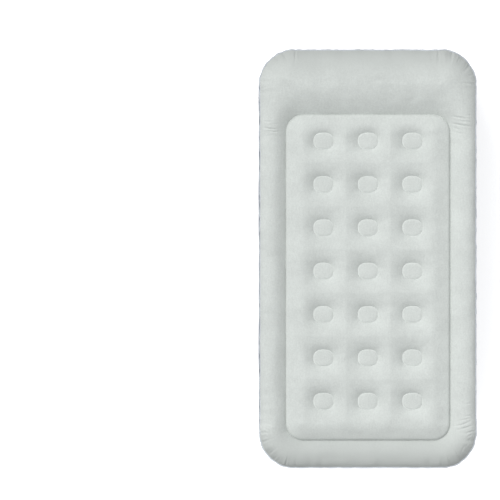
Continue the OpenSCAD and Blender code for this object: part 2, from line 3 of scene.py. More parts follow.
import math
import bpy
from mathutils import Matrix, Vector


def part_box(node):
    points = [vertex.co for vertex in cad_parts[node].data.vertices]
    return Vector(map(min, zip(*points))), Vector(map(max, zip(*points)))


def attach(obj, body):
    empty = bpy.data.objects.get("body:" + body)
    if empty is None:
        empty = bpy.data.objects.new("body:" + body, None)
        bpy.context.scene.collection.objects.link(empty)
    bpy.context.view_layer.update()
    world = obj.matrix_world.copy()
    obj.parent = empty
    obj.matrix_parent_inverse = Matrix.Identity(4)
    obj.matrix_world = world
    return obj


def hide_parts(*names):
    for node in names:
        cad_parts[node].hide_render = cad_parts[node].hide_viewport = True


bl_info = {
    "name": "Raised air mattress",
    "version": (1, 0, 0),
    "blender": (4, 5, 0),
    "location": "3D Viewport > Sidebar > Mattress",
    "description": "Builds an air mattress's skins, pump, valve, printed marks and finishes round its frame",
    "category": "Object",
}

import bmesh
import bpy
import numpy as np
from bpy.props import FloatProperty, FloatVectorProperty, IntProperty, PointerProperty
from mathutils import Vector
from mathutils.geometry import delaunay_2d_cdt

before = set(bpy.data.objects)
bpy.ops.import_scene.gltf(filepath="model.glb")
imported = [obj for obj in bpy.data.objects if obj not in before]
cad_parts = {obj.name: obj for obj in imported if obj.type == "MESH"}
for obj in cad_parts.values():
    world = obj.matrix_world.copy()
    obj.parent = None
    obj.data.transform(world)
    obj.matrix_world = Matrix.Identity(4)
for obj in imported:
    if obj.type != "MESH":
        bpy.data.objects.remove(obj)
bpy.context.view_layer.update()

MM = 0.001
ROOT = "mattress"


def box_mm(node):
    """A CAD node's lowest and highest corners, in millimetres."""
    low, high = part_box(node)
    return np.array(low) / MM, np.array(high) / MM


# ---------------------------------------------------------------- what the frame says, in millimetres

WALL_LOW, WALL_HIGH = box_mm("lower_wall")
MIDDLE_LOW, MIDDLE_HIGH = box_mm("middle_wall")
UPPER_LOW, UPPER_HIGH = box_mm("upper_wall")
BORDER_LOW, BORDER_HIGH = box_mm("border_sheet")
PANEL_LOW, PANEL_HIGH = box_mm("sleeping_panel")
BASE_LOW, BASE_HIGH = box_mm("bottom_sheet")
RIM_LOW, RIM_HIGH = box_mm("pump_frame")
FASCIA_LOW, FASCIA_HIGH = box_mm("fascia_plate")
DIAL_PLATE_LOW, DIAL_PLATE_HIGH = box_mm("dial_plate")
KNOB_LOW, KNOB_HIGH = box_mm("dial_knob")
DOOR_LOW, DOOR_HIGH = box_mm("cord_door")
VALVE_LOW, VALVE_HIGH = box_mm("valve_flange")
CAP_LOW, CAP_HIGH = box_mm("valve_cap")
LEFT_PRINT_LOW, LEFT_PRINT_HIGH = box_mm("left_print")
RIGHT_PRINT_LOW, RIGHT_PRINT_HIGH = box_mm("right_print")

CORNER_R = 150.0
BORDER_R = CORNER_R - 12
BASE_R = CORNER_R - 46
PANEL_R = 80.0
PUMP = np.array([(FASCIA_LOW[0] + FASCIA_HIGH[0]) / 2, FASCIA_LOW[1], (FASCIA_LOW[2] + FASCIA_HIGH[2]) / 2])
DIAL_X = (KNOB_LOW[0] + KNOB_HIGH[0]) / 2 - PUMP[0]
VALVE = np.array([(VALVE_LOW[0] + VALVE_HIGH[0]) / 2, MIDDLE_LOW[1], (VALVE_LOW[2] + VALVE_HIGH[2]) / 2])


# ---------------------------------------------------------------- settings


class MattressShape(bpy.types.PropertyGroup):
    """How full the mattress looks."""

    panel_crown: FloatProperty(
        name="Panel crown", description="How far the panel swells between its dimples, in millimetres",
        default=8.5, min=0.0, max=12.0)
    dimple_reach: FloatProperty(
        name="Dimple reach", description="How far from a dimple's weld the panel still dips, in millimetres",
        default=30.0, min=10.0, max=60.0)
    gather_depth: FloatProperty(
        name="Gather depth", description="Depth of the gathers at the welded seams, as a factor",
        default=1.0, min=0.0, max=2.0)
    middle_bulge: FloatProperty(
        name="Middle tier bulge",
        description="How far the middle tier swells away from the pump, in millimetres",
        default=5.0, min=0.0, max=7.0)
    seed: IntProperty(name="Seed", description="Seed of the gathers and creases", default=7, min=0)


class MattressColours(bpy.types.PropertyGroup):
    """The finishes' colours."""

    flock: FloatVectorProperty(
        name="Flock", description="Pale grey-green flocked top", subtype="COLOR", size=3,
        default=(0.600, 0.630, 0.605), min=0.0, max=1.0)
    film: FloatVectorProperty(
        name="Side wall film", description="Navy PVC film of the side wall", subtype="COLOR", size=3,
        default=(0.012, 0.036, 0.098), min=0.0, max=1.0)
    plastic: FloatVectorProperty(
        name="Pump plastic", description="Dark grey moulded plastic", subtype="COLOR", size=3,
        default=(0.085, 0.082, 0.090), min=0.0, max=1.0)
    ink: FloatVectorProperty(
        name="Ink", description="White screen-printed ink", subtype="COLOR", size=3,
        default=(0.72, 0.75, 0.80), min=0.0, max=1.0)


class StageSettings(bpy.types.PropertyGroup):
    """The camera, lights and floor."""

    lens: FloatProperty(
        name="Lens", description="Focal length", default=200.0, unit="CAMERA", min=20.0, max=300.0)
    camera_x: FloatProperty(
        name="Camera across", description="How far the camera stands to the left of the mattress",
        default=0.535, unit="LENGTH")
    camera_y: FloatProperty(
        name="Camera along", description="How far the camera stands towards the pillow",
        default=0.04, unit="LENGTH")
    camera_z: FloatProperty(
        name="Camera height", description="Height above the floor", default=13.05, unit="LENGTH")
    key_power: FloatProperty(
        name="Key strength", description="Strength of the main soft light", default=1.95)
    fill_power: FloatProperty(
        name="Fill power", description="Power of the low light at the pump's end", default=66.0, unit="POWER")
    room_light: FloatProperty(
        name="Room light", description="Brightness of the pale surroundings", default=0.69)


# ---------------------------------------------------------------- outlines


class Outline:
    """A rectangle with round corners, in mm. s runs anticlockwise from the foot end of the +X side."""

    def __init__(self, low, high, radius):
        self.x0, self.y0 = low[0], low[1]
        self.x1, self.y1 = high[0], high[1]
        self.r = radius
        self.across = self.x1 - self.x0 - 2 * radius
        self.along = self.y1 - self.y0 - 2 * radius
        self.arc = math.pi / 2 * radius
        self.length = 2 * (self.across + self.along) + 4 * self.arc
        starts, s = [], 0.0
        for side in (self.along, self.across, self.along, self.across):
            starts += [s, s + side]
            s += side + self.arc
        self.starts = np.array(starts + [s])
        self.corner_middles = [starts[k] + self.arc / 2 for k in (1, 3, 5, 7)]

    def walk(self, s, inset=0.0):
        """Positions (x, y) and outward directions at s, moved inwards by inset."""
        s = np.mod(np.asarray(s, float), self.length)
        part = np.clip(np.searchsorted(self.starts, s, side="right") - 1, 0, 7)
        gone = s - self.starts[part]
        corner = part % 2 == 1
        side = part // 2
        angle = side * math.pi / 2 + np.where(corner, gone / self.r, 0.0)
        nx, ny = np.cos(angle), np.sin(angle)
        centre_x = np.array([self.x1 - self.r, self.x0 + self.r, self.x0 + self.r, self.x1 - self.r])
        centre_y = np.array([self.y1 - self.r, self.y1 - self.r, self.y0 + self.r, self.y0 + self.r])
        # a straight side ends at the corner that follows it
        run = np.array([self.along, self.across, self.along, self.across])[side]
        back = np.where(corner, 0.0, run - gone)
        x = centre_x[side] + nx * (self.r - inset) + back * ny
        y = centre_y[side] + ny * (self.r - inset) - back * nx
        return np.stack([x, y], -1), np.stack([nx, ny], -1)

    def distance(self, x, y):
        """How far inside the outline a point lies."""
        qx = np.abs(x - (self.x0 + self.x1) / 2) - ((self.x1 - self.x0) / 2 - self.r)
        qy = np.abs(y - (self.y0 + self.y1) / 2) - ((self.y1 - self.y0) / 2 - self.r)
        return self.r - np.hypot(np.maximum(qx, 0), np.maximum(qy, 0)) - np.minimum(np.maximum(qx, qy), 0)

    def nearest(self, x, y):
        """s of the outline's point nearest to (x, y)."""
        sides = np.stack([self.x1 - x, self.y1 - y, x - self.x0, y - self.y0])
        side = np.argmin(sides, 0)
        r = self.r
        gone = np.choose(side, [y - self.y0 - r, self.x1 - r - x, self.y1 - r - y, x - self.x0 - r])
        s = self.starts[2 * side] + gone
        cx = np.clip(x, self.x0 + self.r, self.x1 - self.r)
        cy = np.clip(y, self.y0 + self.r, self.y1 - self.r)
        turn = np.mod(np.arctan2(y - cy, x - cx), 2 * math.pi)
        in_corner = (cx != x) & (cy != y)
        quarter = np.minimum((turn // (math.pi / 2)).astype(int), 3)
        return np.where(in_corner, self.starts[2 * quarter + 1] + (turn - quarter * math.pi / 2) * self.r, s)

    def ring(self, inset, step):
        """Points round the outline drawn in by inset, about step apart."""
        round_r = max(self.r - inset, 1.0)
        length = self.length - 2 * math.pi * (self.r - round_r)
        count = max(8, int(length / step))
        shrunk = Outline((self.x0 + inset, self.y0 + inset), (self.x1 - inset, self.y1 - inset), round_r)
        return shrunk.walk(np.arange(count) * shrunk.length / count)[0]


FOOTPRINT = Outline(WALL_LOW, WALL_HIGH, CORNER_R)
BORDER = Outline(BORDER_LOW, BORDER_HIGH, BORDER_R)
PANEL = Outline(PANEL_LOW, PANEL_HIGH, PANEL_R)


# ---------------------------------------------------------------- small shape helpers


def ease(t):
    """0 below 0, 1 above 1, smooth between."""
    t = np.clip(t, 0.0, 1.0)
    return t * t * (3 - 2 * t)


def ripple(seed, s, period, wavelength, count=9):
    """Smooth noise along a closed line, about -1 to 1, that repeats after period."""
    rng = np.random.default_rng(seed)
    total = np.zeros_like(s, dtype=float)
    for _ in range(count):
        turns = max(1, round(period / (wavelength * rng.uniform(0.6, 1.7))))
        total += np.sin(2 * math.pi * turns * s / period + rng.uniform(0, 2 * math.pi))
    return total / math.sqrt(count)


def swell(seed, x, y, wavelength, count=16):
    """Smooth noise over a plane, about -1 to 1."""
    rng = np.random.default_rng(seed)
    total = np.zeros_like(x, dtype=float)
    for _ in range(count):
        angle, phase = rng.uniform(0, 2 * math.pi, 2)
        k = 2 * math.pi / (wavelength * rng.uniform(0.6, 1.7))
        total += np.sin(k * (x * math.cos(angle) + y * math.sin(angle)) + phase)
    return total / math.sqrt(count)


def band_swell(seed, s, t, period, wavelength, count=14):
    """Smooth noise over a band that closes on itself, about -1 to 1."""
    rng = np.random.default_rng(seed)
    total = np.zeros_like(s, dtype=float)
    for _ in range(count):
        turn, phase = rng.uniform(0, 2 * math.pi, 2)
        k = 2 * math.pi / (wavelength * rng.uniform(0.6, 1.7))
        turns = round(period * k * math.cos(turn) / (2 * math.pi))
        total += np.sin(2 * math.pi * turns * s / period + k * math.sin(turn) * t + phase)
    return total / math.sqrt(count)


def fold_section(v):
    """A crease's cross-section: a valley 1 deep with a low shoulder on each side; v is in crease widths."""
    return -np.exp(-v * v) + 0.42 * np.exp(-((np.abs(v) - 2.0) / 1.1) ** 2)


def wrap(s, period):
    """s moved by whole periods to the nearest to zero."""
    return np.mod(s + period / 2, period) - period / 2


def gathers(seed, outline, dense, sparse, skip=None):
    """Folds that start at a welded line: close and deep at the corners, few and shallow along the sides."""
    rng = np.random.default_rng(seed)
    folds, s = [], 0.0
    while s < outline.length:
        near = min(abs(wrap(s - m, outline.length)) for m in outline.corner_middles)
        corner = float(1 - ease((near - outline.arc / 2 + 10) / 70))
        step = dense + (sparse - dense) * (1 - corner)
        s += step * rng.uniform(0.55, 1.45)
        deep = rng.uniform(0.35, 1.0) * (0.8 + 2.1 * corner)
        long = rng.uniform(16, 30) + 18 * corner * rng.uniform(0.3, 1.0)
        wide = rng.uniform(3.0, 4.6) + 3.0 * (1 - corner)
        if skip is None or not skip(s):
            folds.append((s, rng.uniform(-0.55, 0.55), long, wide, deep))
    return folds


def gather_relief(folds, s, away, period):
    """How far the gathers move the skin outwards, at s along a seam and a distance away from it."""
    relief = np.zeros_like(s, dtype=float)
    for start, tilt, long, wide, deep in folds:
        v = wrap(s - start - tilt * away, period) / wide
        near = (np.abs(v) < 5) & (away < 2.2 * long)
        d = away[near] / long
        rise = 1 - np.exp(-away[near] / 2.5)
        relief[near] += deep * rise * np.exp(-2.2 * d * d) * fold_section(v[near])
    return relief


# ---------------------------------------------------------------- shapes of the skins


def seam_height(s):
    """How far the top seam lies above its level line: it sags round each corner and waves a little."""
    sag = sum(-7.0 * np.exp(-(wrap(s - m, BORDER.length) / 95.0) ** 2) for m in BORDER.corner_middles)
    near = sum(np.exp(-(wrap(s - m, BORDER.length) / 190.0) ** 2) for m in BORDER.corner_middles)
    waves = 0.9 * ripple(11, s, BORDER.length, 170)
    return sag + waves + (0.5 + 1.3 * near) * ripple(12, s, BORDER.length, 62)


def corner_notches():
    """Where the top seam is nipped in round each corner, and how far: (s, depth)."""
    rng = np.random.default_rng(5)
    return [(m + off + rng.uniform(-9, 9), rng.uniform(1.5, 3.0))
            for m in BORDER.corner_middles for off in (-124, -72, -22, 30, 80, 130)]


NOTCHES = corner_notches()


def seam_reach(s):
    """How far the top seam stands out of its level line, with ears beside each corner and nips in it."""
    reach = 5.4 + 0.7 * ripple(15, s, BORDER.length, 160)
    for middle in BORDER.corner_middles:
        d = wrap(s - middle, BORDER.length)
        reach = reach - 3.2 * np.exp(-((d / 60.0) ** 2)) + 1.4 * np.exp(-(((np.abs(d) - 125) / 36.0) ** 2))
    for at, deep in NOTCHES:
        reach = reach - deep * np.exp(-np.abs(wrap(s - at, BORDER.length)) / 7.0)
    return reach


def waist_wave(seed, s):
    """How far a seam between two tiers rises and falls: it puckers near the corners."""
    near = sum(np.exp(-((wrap(s - m, FOOTPRINT.length) / 150.0) ** 2)) for m in FOOTPRINT.corner_middles)
    period = FOOTPRINT.length
    return 0.5 * ripple(seed, s, period, 180) + 1.4 * near * ripple(seed + 1, s, period, 34)


TOP_SEAM_Z = UPPER_HIGH[2]
GROOVE_Z = PANEL_LOW[2]
PANEL_Z = PANEL_HIGH[2]
TUBE_RISE = 27.0
PILLOW_RISE = BORDER_HIGH[2] - (TOP_SEAM_Z + GROOVE_Z) / 2
TUBE_W = PANEL.x0 - BORDER.x0
PILLOW_W = BORDER.y1 - PANEL.y1
DIMPLE_PITCH = (202.0, 197.0)
DIMPLE_COLS, DIMPLE_ROWS = 3, 7
FIRST_ROW = 120.0
DIMPLE_HALF = (45.5, 38.0)
DIMPLE_SQUARE = 2.5
DIMPLE_Z = 431.0
DIMPLES = [((i - 1) * DIMPLE_PITCH[0], PANEL.y1 - FIRST_ROW - j * DIMPLE_PITCH[1])
           for i in range(DIMPLE_COLS) for j in range(DIMPLE_ROWS)]


def dimple_coordinate(x, y):
    """0 at the middle of the nearest dimple, 1 on its welded ring, a little squarer than an ellipse."""
    q = np.full_like(x, 99.0)
    for cx, cy in DIMPLES:
        u, v = np.abs(x - cx) / DIMPLE_HALF[0], np.abs(y - cy) / DIMPLE_HALF[1]
        q = np.minimum(q, (u**DIMPLE_SQUARE + v**DIMPLE_SQUARE) ** (1 / DIMPLE_SQUARE))
    return q


def border_height(x, y, inside, outside):
    """The border tube and the pillow: an arc from the seam (inside = 0) to the groove (outside = 0)."""
    width = np.maximum(inside + outside, 1.0)
    u = inside / width
    rise = TUBE_RISE + (width - TUBE_W) * (PILLOW_RISE - TUBE_RISE) / (PILLOW_W - TUBE_W)
    rise = np.clip(rise, TUBE_RISE - 4, PILLOW_RISE + 1.5)
    s = BORDER.nearest(x, y)
    corner = sum(np.exp(-(wrap(s - m, BORDER.length) / 210.0) ** 2) for m in BORDER.corner_middles)
    rise = rise + 3.0 * corner - 3.0 * np.exp(-((x / 260.0) ** 2)) * (y < PANEL.y0)
    w = 2 * u - 1
    arc = rise * np.where(w < 0, np.maximum(1 - np.abs(w) ** 2.3, 0) ** 0.84, 1 - np.abs(w) ** 1.9)
    level = TOP_SEAM_Z + (GROOVE_Z - TOP_SEAM_Z) * u
    fade = np.exp(-((inside / 42.0) ** 2))
    return level + arc + seam_height(s) * fade


def panel_height(x, y, inside, shape):
    """The sleeping panel: a rolled edge, low ridges between the columns, and a welded ring at every coil."""
    rise = PANEL_Z - GROOVE_Z
    step_up = 0.42 * rise * (1 - np.exp(-inside / 3.4))
    edge = step_up + 0.58 * rise * (1 - (1 - np.clip(inside / 95.0, 0, 1)) ** 2.0)
    free = ease((inside - 6) / 85)
    ridges = 2.4 * np.cos(2 * math.pi * (x / DIMPLE_PITCH[0] - 0.5)) * ease((inside - 30) / 70)
    top = GROOVE_Z + edge + shape.panel_crown * free * (1 + 0.2 * swell(21, x, y, 240)) + ridges
    q = dimple_coordinate(x, y)
    span = math.sqrt(DIMPLE_HALF[0] * DIMPLE_HALF[1])
    away, within = np.maximum(q - 1, 0) * span, np.maximum(1 - q, 0) * span
    around = top - (top - DIMPLE_Z) * np.exp(-((away / shape.dimple_reach) ** 0.95))
    disc = DIMPLE_Z + 2.6 * (1 - np.exp(-((within / 3.0) ** 1.25))) + 1.8 * (1 - np.minimum(q, 1) ** 2)
    return np.where(q < 1, disc, around)


def crease_list(shape):
    """Creases in the flocked top: (x, y, direction, length, width, depth), in millimetres and degrees."""
    rng = np.random.default_rng(shape.seed)
    creases = []
    # the side tubes buckle where they run into the pillow
    for dx, dy, turn, long, wide, deep in [
            (418, -16, -10, 100, 3.4, 3.4), (424, -50, -11, 116, 3.6, 4.6), (442, -34, -5, 60, 3.2, 1.8),
            (414, -86, -15, 74, 3.4, 1.7), (452, -6, 3, 52, 3.0, 1.5), (404, -66, -22, 50, 3.0, 1.5),
            (-440, -66, -8, 92, 3.4, 3.8), (-424, -79, -2, 66, 3.2, 3.0), (-446, -98, 8, 54, 3.2, 1.5),
            (-450, -34, -4, 66, 3.6, 1.7), (-420, -44, 6, 50, 3.2, 1.2)]:
        creases.append((dx, PANEL.y1 + dy, turn, long, wide, deep))
    # the panel pulls a few long shallow lines between its edge and the dimples
    for cx, cy in DIMPLES:
        for _ in range(3):
            turn = rng.uniform(0, 360)
            reach = rng.uniform(62, 84)
            px, py = cx + reach * math.cos(math.radians(turn)), cy + reach * math.sin(math.radians(turn))
            creases.append((px, py, turn + rng.uniform(-18, 18), rng.uniform(30, 62), rng.uniform(5, 8),
                            rng.uniform(0.35, 0.9)))
    # slanting wrinkles where the foot's corners are drawn in
    for dx, dy, turn, long, deep in [
            (425, 72, 15, 100, 2.2), (433, 56, 18, 116, 2.8), (448, 84, 21, 64, 1.7), (456, 38, 29, 58, 2.0),
            (460, 24, 37, 52, 2.0), (440, 96, 13, 74, 1.5), (452, 112, 11, 56, 1.3), (454, 168, 9, 46, 1.6),
            (446, 186, 14, 58, 1.0), (458, 6, 46, 50, 1.8), (450, -14, 55, 56, 1.5), (430, -36, 66, 54, 1.4)]:
        for side in (1, -1):
            creases.append((side * dx, PANEL.y0 + dy + (14 if side < 0 else 0), side * turn, long, 3.1,
                            deep * (1.0 if side > 0 else 0.3)))
    # the pillow's surface is slack in a few places
    for k in range(10):
        creases.append((rng.uniform(-400, 400), PANEL.y1 + rng.uniform(30, 250), rng.uniform(-35, 35),
                        rng.uniform(70, 150), rng.uniform(9, 15), rng.uniform(0.5, 1.1)))
    return creases


def crease_relief(creases, x, y):
    """How far the creases raise a skin."""
    relief = np.zeros_like(x)
    for crease in creases:
        u, v = crease_frame(crease, x, y)
        long, deep = crease[3], crease[5]
        near = (np.abs(u) < long / 2) & (np.abs(v) < 5)
        relief[near] += deep * np.cos(math.pi * u[near] / long) ** 2 * fold_section(v[near])
    return relief


def quarter_bulge(crown, end, count):
    """An arc from a crown to a seam, each an (inset, height), that leaves the crown upright."""
    a, b = crown
    c, d = end
    radius = ((d - b) ** 2 + (c - a) ** 2) / (2 * (c - a))
    turn = np.linspace(0, math.asin(abs(d - b) / radius), count)
    up = 1 if d > b else -1
    return [(a + radius - radius * math.cos(t), b + up * radius * math.sin(t)) for t in turn]


SECTION_STEPS = 40


class Tier:
    """One band of the side wall: a section from seam to crown to seam, carried round the footprint."""

    def __init__(self, low, crown, high):
        below = quarter_bulge(crown, low, SECTION_STEPS)[::-1]
        above = quarter_bulge(crown, high, SECTION_STEPS)
        line = np.array(below + above[1:])
        self.t = np.r_[0, np.cumsum(np.hypot(*np.diff(line, axis=0).T))]
        self.inset, self.z = line[:, 0], line[:, 1]
        self.length = self.t[-1]
        tangent = np.gradient(line, self.t, axis=0)
        self.out = tangent[:, 1] / np.hypot(*tangent.T)
        self.up = tangent[:, 0] / np.hypot(*tangent.T)

    def surface(self, s, t, push):
        """Points of the band at s round the footprint and t up it, pushed outwards."""
        inset = np.interp(t, self.t, self.inset)
        z = np.interp(t, self.t, self.z)
        out, up = np.interp(t, self.t, self.out), np.interp(t, self.t, self.up)
        xy, n = FOOTPRINT.walk(s, inset)
        return np.c_[xy + n * (out * push)[:, None], z + up * push]

    def t_at(self, z):
        """How far up the band a height is."""
        return float(np.interp(z, self.z, self.t))


MIDDLE_CROWN = (8.0, (MIDDLE_LOW[2] + MIDDLE_HIGH[2]) / 2)
UPPER = Tier((22, UPPER_LOW[2]), (6.5, 384), (15, UPPER_HIGH[2]))
MIDDLE = Tier((26, MIDDLE_LOW[2]), MIDDLE_CROWN, (22, MIDDLE_HIGH[2]))
LOWER = Tier((45, WALL_LOW[2]), (0, 78), (26, WALL_HIGH[2]))


def wall_sag(z):
    """How far the middle tier's round section lies behind its crown at a height."""
    return np.interp(z, MIDDLE.z, MIDDLE.inset) - MIDDLE_CROWN[0]


def end_wall_s(x):
    """s of a place on the pump end's wall, from its x."""
    reach = FOOTPRINT.x1 - FOOTPRINT.r
    start = FOOTPRINT.starts[6]
    if abs(x) <= reach:
        return start + x + reach
    turn = math.asin(min(1.0, (abs(x) - reach) / (FOOTPRINT.r - 8))) * FOOTPRINT.r
    return start - turn if x < 0 else start + 2 * reach + turn


def near_fittings(s, extra=0.0):
    """True where the pump end's wall carries the pump, the valve or a printed panel."""
    first, last = end_wall_s(LEFT_PRINT_LOW[0] - extra), end_wall_s(RIGHT_PRINT_HIGH[0] + extra)
    return first < s % FOOTPRINT.length < last


def middle_push(s, t, shape):
    """How far the middle tier swells outwards: hardly at all beside the pump, more away from it."""
    centre = end_wall_s(PUMP[0])
    away = np.abs(wrap(s - centre, FOOTPRINT.length))
    free = ease((away - 150) / 420)
    bow = np.sin(math.pi * np.clip(t / MIDDLE.length, 0, 1))
    return bow * (free * shape.middle_bulge + 0.5 * band_swell(31, s, t, FOOTPRINT.length, 260))


# ---------------------------------------------------------------- meshes


def to_object(name, points, faces, smooth_angle):
    """A mesh object from points in millimetres, with sharp edges past an angle in degrees."""
    mesh = bpy.data.meshes.new(name)
    places = [tuple(p) for p in np.asarray(points, float) * MM]
    mesh.from_pydata(places, [], [tuple(int(i) for i in f) for f in faces])
    mesh.validate()
    mesh.shade_smooth()
    if smooth_angle < 180:
        mesh.set_sharp_from_angle(angle=math.radians(smooth_angle))
    obj = bpy.data.objects.new(name, mesh)
    bpy.context.scene.collection.objects.link(obj)
    return obj


WELD_DISTANCE = 0.00002


def weld(obj, outward=True):
    """Merges an object's doubles and, on a closed shape, turns its faces outwards."""
    mesh = bmesh.new()
    mesh.from_mesh(obj.data)
    bmesh.ops.remove_doubles(mesh, verts=mesh.verts, dist=WELD_DISTANCE)
    if outward:
        bmesh.ops.recalc_face_normals(mesh, faces=mesh.faces)
    mesh.to_mesh(obj.data)
    mesh.free()
    return obj


def join(name, objects):
    """One object from several, with their materials kept."""
    with bpy.context.temp_override(active_object=objects[0], selected_editable_objects=objects):
        bpy.ops.object.join()
    objects[0].name = name
    objects[0].data.name = name
    return objects[0]


def finish_piece(obj, body, replaced=(), material=None):
    """Gives a piece its material and body, and hides the CAD nodes that it stands for."""
    if material is not None:
        obj.data.materials.clear()
        obj.data.materials.append(material)
    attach(obj, body)
    if replaced:
        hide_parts(*replaced)
    return obj


def flat_mesh(points, loops, keep):
    """Triangulates points in a plane and closed loops, kept as edges; keep picks triangles by centre."""
    flat = [Vector((float(x), float(y))) for x, y in points]
    edges, start = [], len(flat)
    for loop in loops:
        n = len(loop)
        flat += [Vector((float(x), float(y))) for x, y in loop]
        edges += [(start + i, start + (i + 1) % n) for i in range(n)]
        start += n
    verts, _, faces, _, _, _ = delaunay_2d_cdt(flat, edges, [], 0, 1e-4)
    verts = np.array([(v.x, v.y) for v in verts])
    faces = np.array([f for f in faces if len(f) == 3])
    centre = verts[faces].mean(1)
    faces = faces[keep(centre[:, 0], centre[:, 1])]
    used = np.unique(faces)
    index = np.full(len(verts), -1)
    index[used] = np.arange(len(used))
    return verts[used], index[faces]


ROW_RATIO = 0.866


def hex_points(low, high, step):
    """Points of a triangular lattice over a rectangle."""
    rows = int((high[1] - low[1]) / (step * ROW_RATIO)) + 1
    cols = int((high[0] - low[0]) / step) + 1
    i, j = np.meshgrid(np.arange(cols), np.arange(rows))
    x = low[0] + (i + 0.5 * (j % 2)) * step
    y = low[1] + j * step * ROW_RATIO
    return np.c_[x.ravel(), y.ravel()]


def circle_ring(centre, radius, count):
    """Points round a circle."""
    a = np.arange(count) * 2 * math.pi / count
    return np.c_[centre[0] + radius * np.cos(a), centre[1] + radius * np.sin(a)]


def dimple_ring(centre, size, count):
    """Points round a dimple's outline, scaled by size."""
    a = np.arange(count) * 2 * math.pi / count
    square = np.abs(np.cos(a)) ** DIMPLE_SQUARE + np.abs(np.sin(a)) ** DIMPLE_SQUARE
    k = size * square ** (-1 / DIMPLE_SQUARE)
    return np.c_[centre[0] + DIMPLE_HALF[0] * k * np.cos(a), centre[1] + DIMPLE_HALF[1] * k * np.sin(a)]


CREASE_BEND = 0.12


def crease_frame(crease, x, y):
    """A place along a crease in millimetres, and across it in crease widths."""
    cx, cy, turn, long, wide, _ = crease
    a = math.radians(turn)
    u = (x - cx) * math.cos(a) + (y - cy) * math.sin(a)
    return u, (-(x - cx) * math.sin(a) + (y - cy) * math.cos(a) - CREASE_BEND * u * u / long) / wide


def crease_points(crease):
    """Close rows of points along a crease."""
    cx, cy, turn, long, wide, _ = crease
    a = math.radians(turn)
    rows = np.array([-3.2, -2.0, -1.1, -0.4, 0.4, 1.1, 2.0, 3.2]) * wide
    u, v = (g.ravel() for g in np.meshgrid(np.arange(-long / 2, long / 2, 4.0), rows))
    v = v + CREASE_BEND * u ** 2 / long
    return np.c_[cx + u * math.cos(a) - v * math.sin(a), cy + u * math.sin(a) + v * math.cos(a)]


SEAM_INSETS = (0, 1.4, 3.4, 6.4, 10, 14)
GROOVE_OUTSETS = (10, 5, 1.8)
GROOVE_INSETS = (0, 0.7, 1.7, 3.2, 5.4, 8.4, 12, 16)
DIMPLE_RINGS = (0.45, 0.68, 0.80, 0.88, 0.93, 0.958, 0.978, 0.992, 1.0, 1.012, 1.03, 1.06, 1.11, 1.18, 1.28)
DIMPLE_MEAN = 41


def top_sheet_flat(step, creases):
    """The flocked top's plan, triangulated: fine at the seam, the groove, the dimples and the creases."""
    loops = [BORDER.ring(d, step * 0.72) for d in SEAM_INSETS]
    loops += [PANEL.ring(-d, step * 0.9) for d in GROOVE_OUTSETS]
    loops += [PANEL.ring(d, step * 0.9) for d in GROOVE_INSETS]
    for c in DIMPLES:
        loops += [dimple_ring(c, k, max(20, int(60 * min(k + 0.1, 1)))) for k in DIMPLE_RINGS]
        loops.append(dimple_ring(c, 0.18, 8))
    low, high = (BORDER.x0, BORDER.y0), (BORDER.x1, BORDER.y1)
    coarse, fine = hex_points(low, high, step), hex_points(low, high, step * 0.62)

    def in_corner(points):
        near = np.full(len(points), 1e9)
        nearest = BORDER.nearest(*points.T)
        for middle in BORDER.corner_middles:
            near = np.minimum(near, np.abs(wrap(nearest - middle, BORDER.length)))
        return (near < 185) & (BORDER.distance(*points.T) < 80)

    points = np.r_[coarse[~in_corner(coarse)], fine[in_corner(fine)]]
    for crease in creases:
        u, v = crease_frame(crease, *points.T)
        points = np.r_[points[(np.abs(u) > crease[3] / 2 + 2) | (np.abs(v) > 3.7)], crease_points(crease)]
    x, y = points.T
    inside, panel = BORDER.distance(x, y), PANEL.distance(x, y)
    gap = step * 0.5
    off_groove = (panel > GROOVE_INSETS[-1] + gap) | (panel < -GROOVE_OUTSETS[0] - gap)
    off_dimples = dimple_coordinate(x, y) > DIMPLE_RINGS[-1] + gap / DIMPLE_MEAN
    clear = (inside > SEAM_INSETS[-1] + gap) & off_groove & off_dimples
    return flat_mesh(points[clear], loops, lambda cx, cy: BORDER.distance(cx, cy) > -0.01)


def slack_creases(seed, tier, spare=None):
    """Short slanting creases in a tier, more near the corners: (s, t, turn, length, width, depth)."""
    rng = np.random.default_rng(seed)
    spots = [(rng.uniform(90, FOOTPRINT.length - 90), 0.6) for _ in range(44)]
    spots += [(m + rng.uniform(-210, 210), 1.0) for m in FOOTPRINT.corner_middles for _ in range(9)]
    return [(s, tier.length * rng.uniform(0.25, 0.85), rng.choice((-1, 1)) * rng.uniform(12, 68),
             rng.uniform(30, 80), rng.uniform(3.4, 5.6), strength * rng.uniform(0.7, 1.6))
            for s, strength in spots if spare is None or not spare(s)]


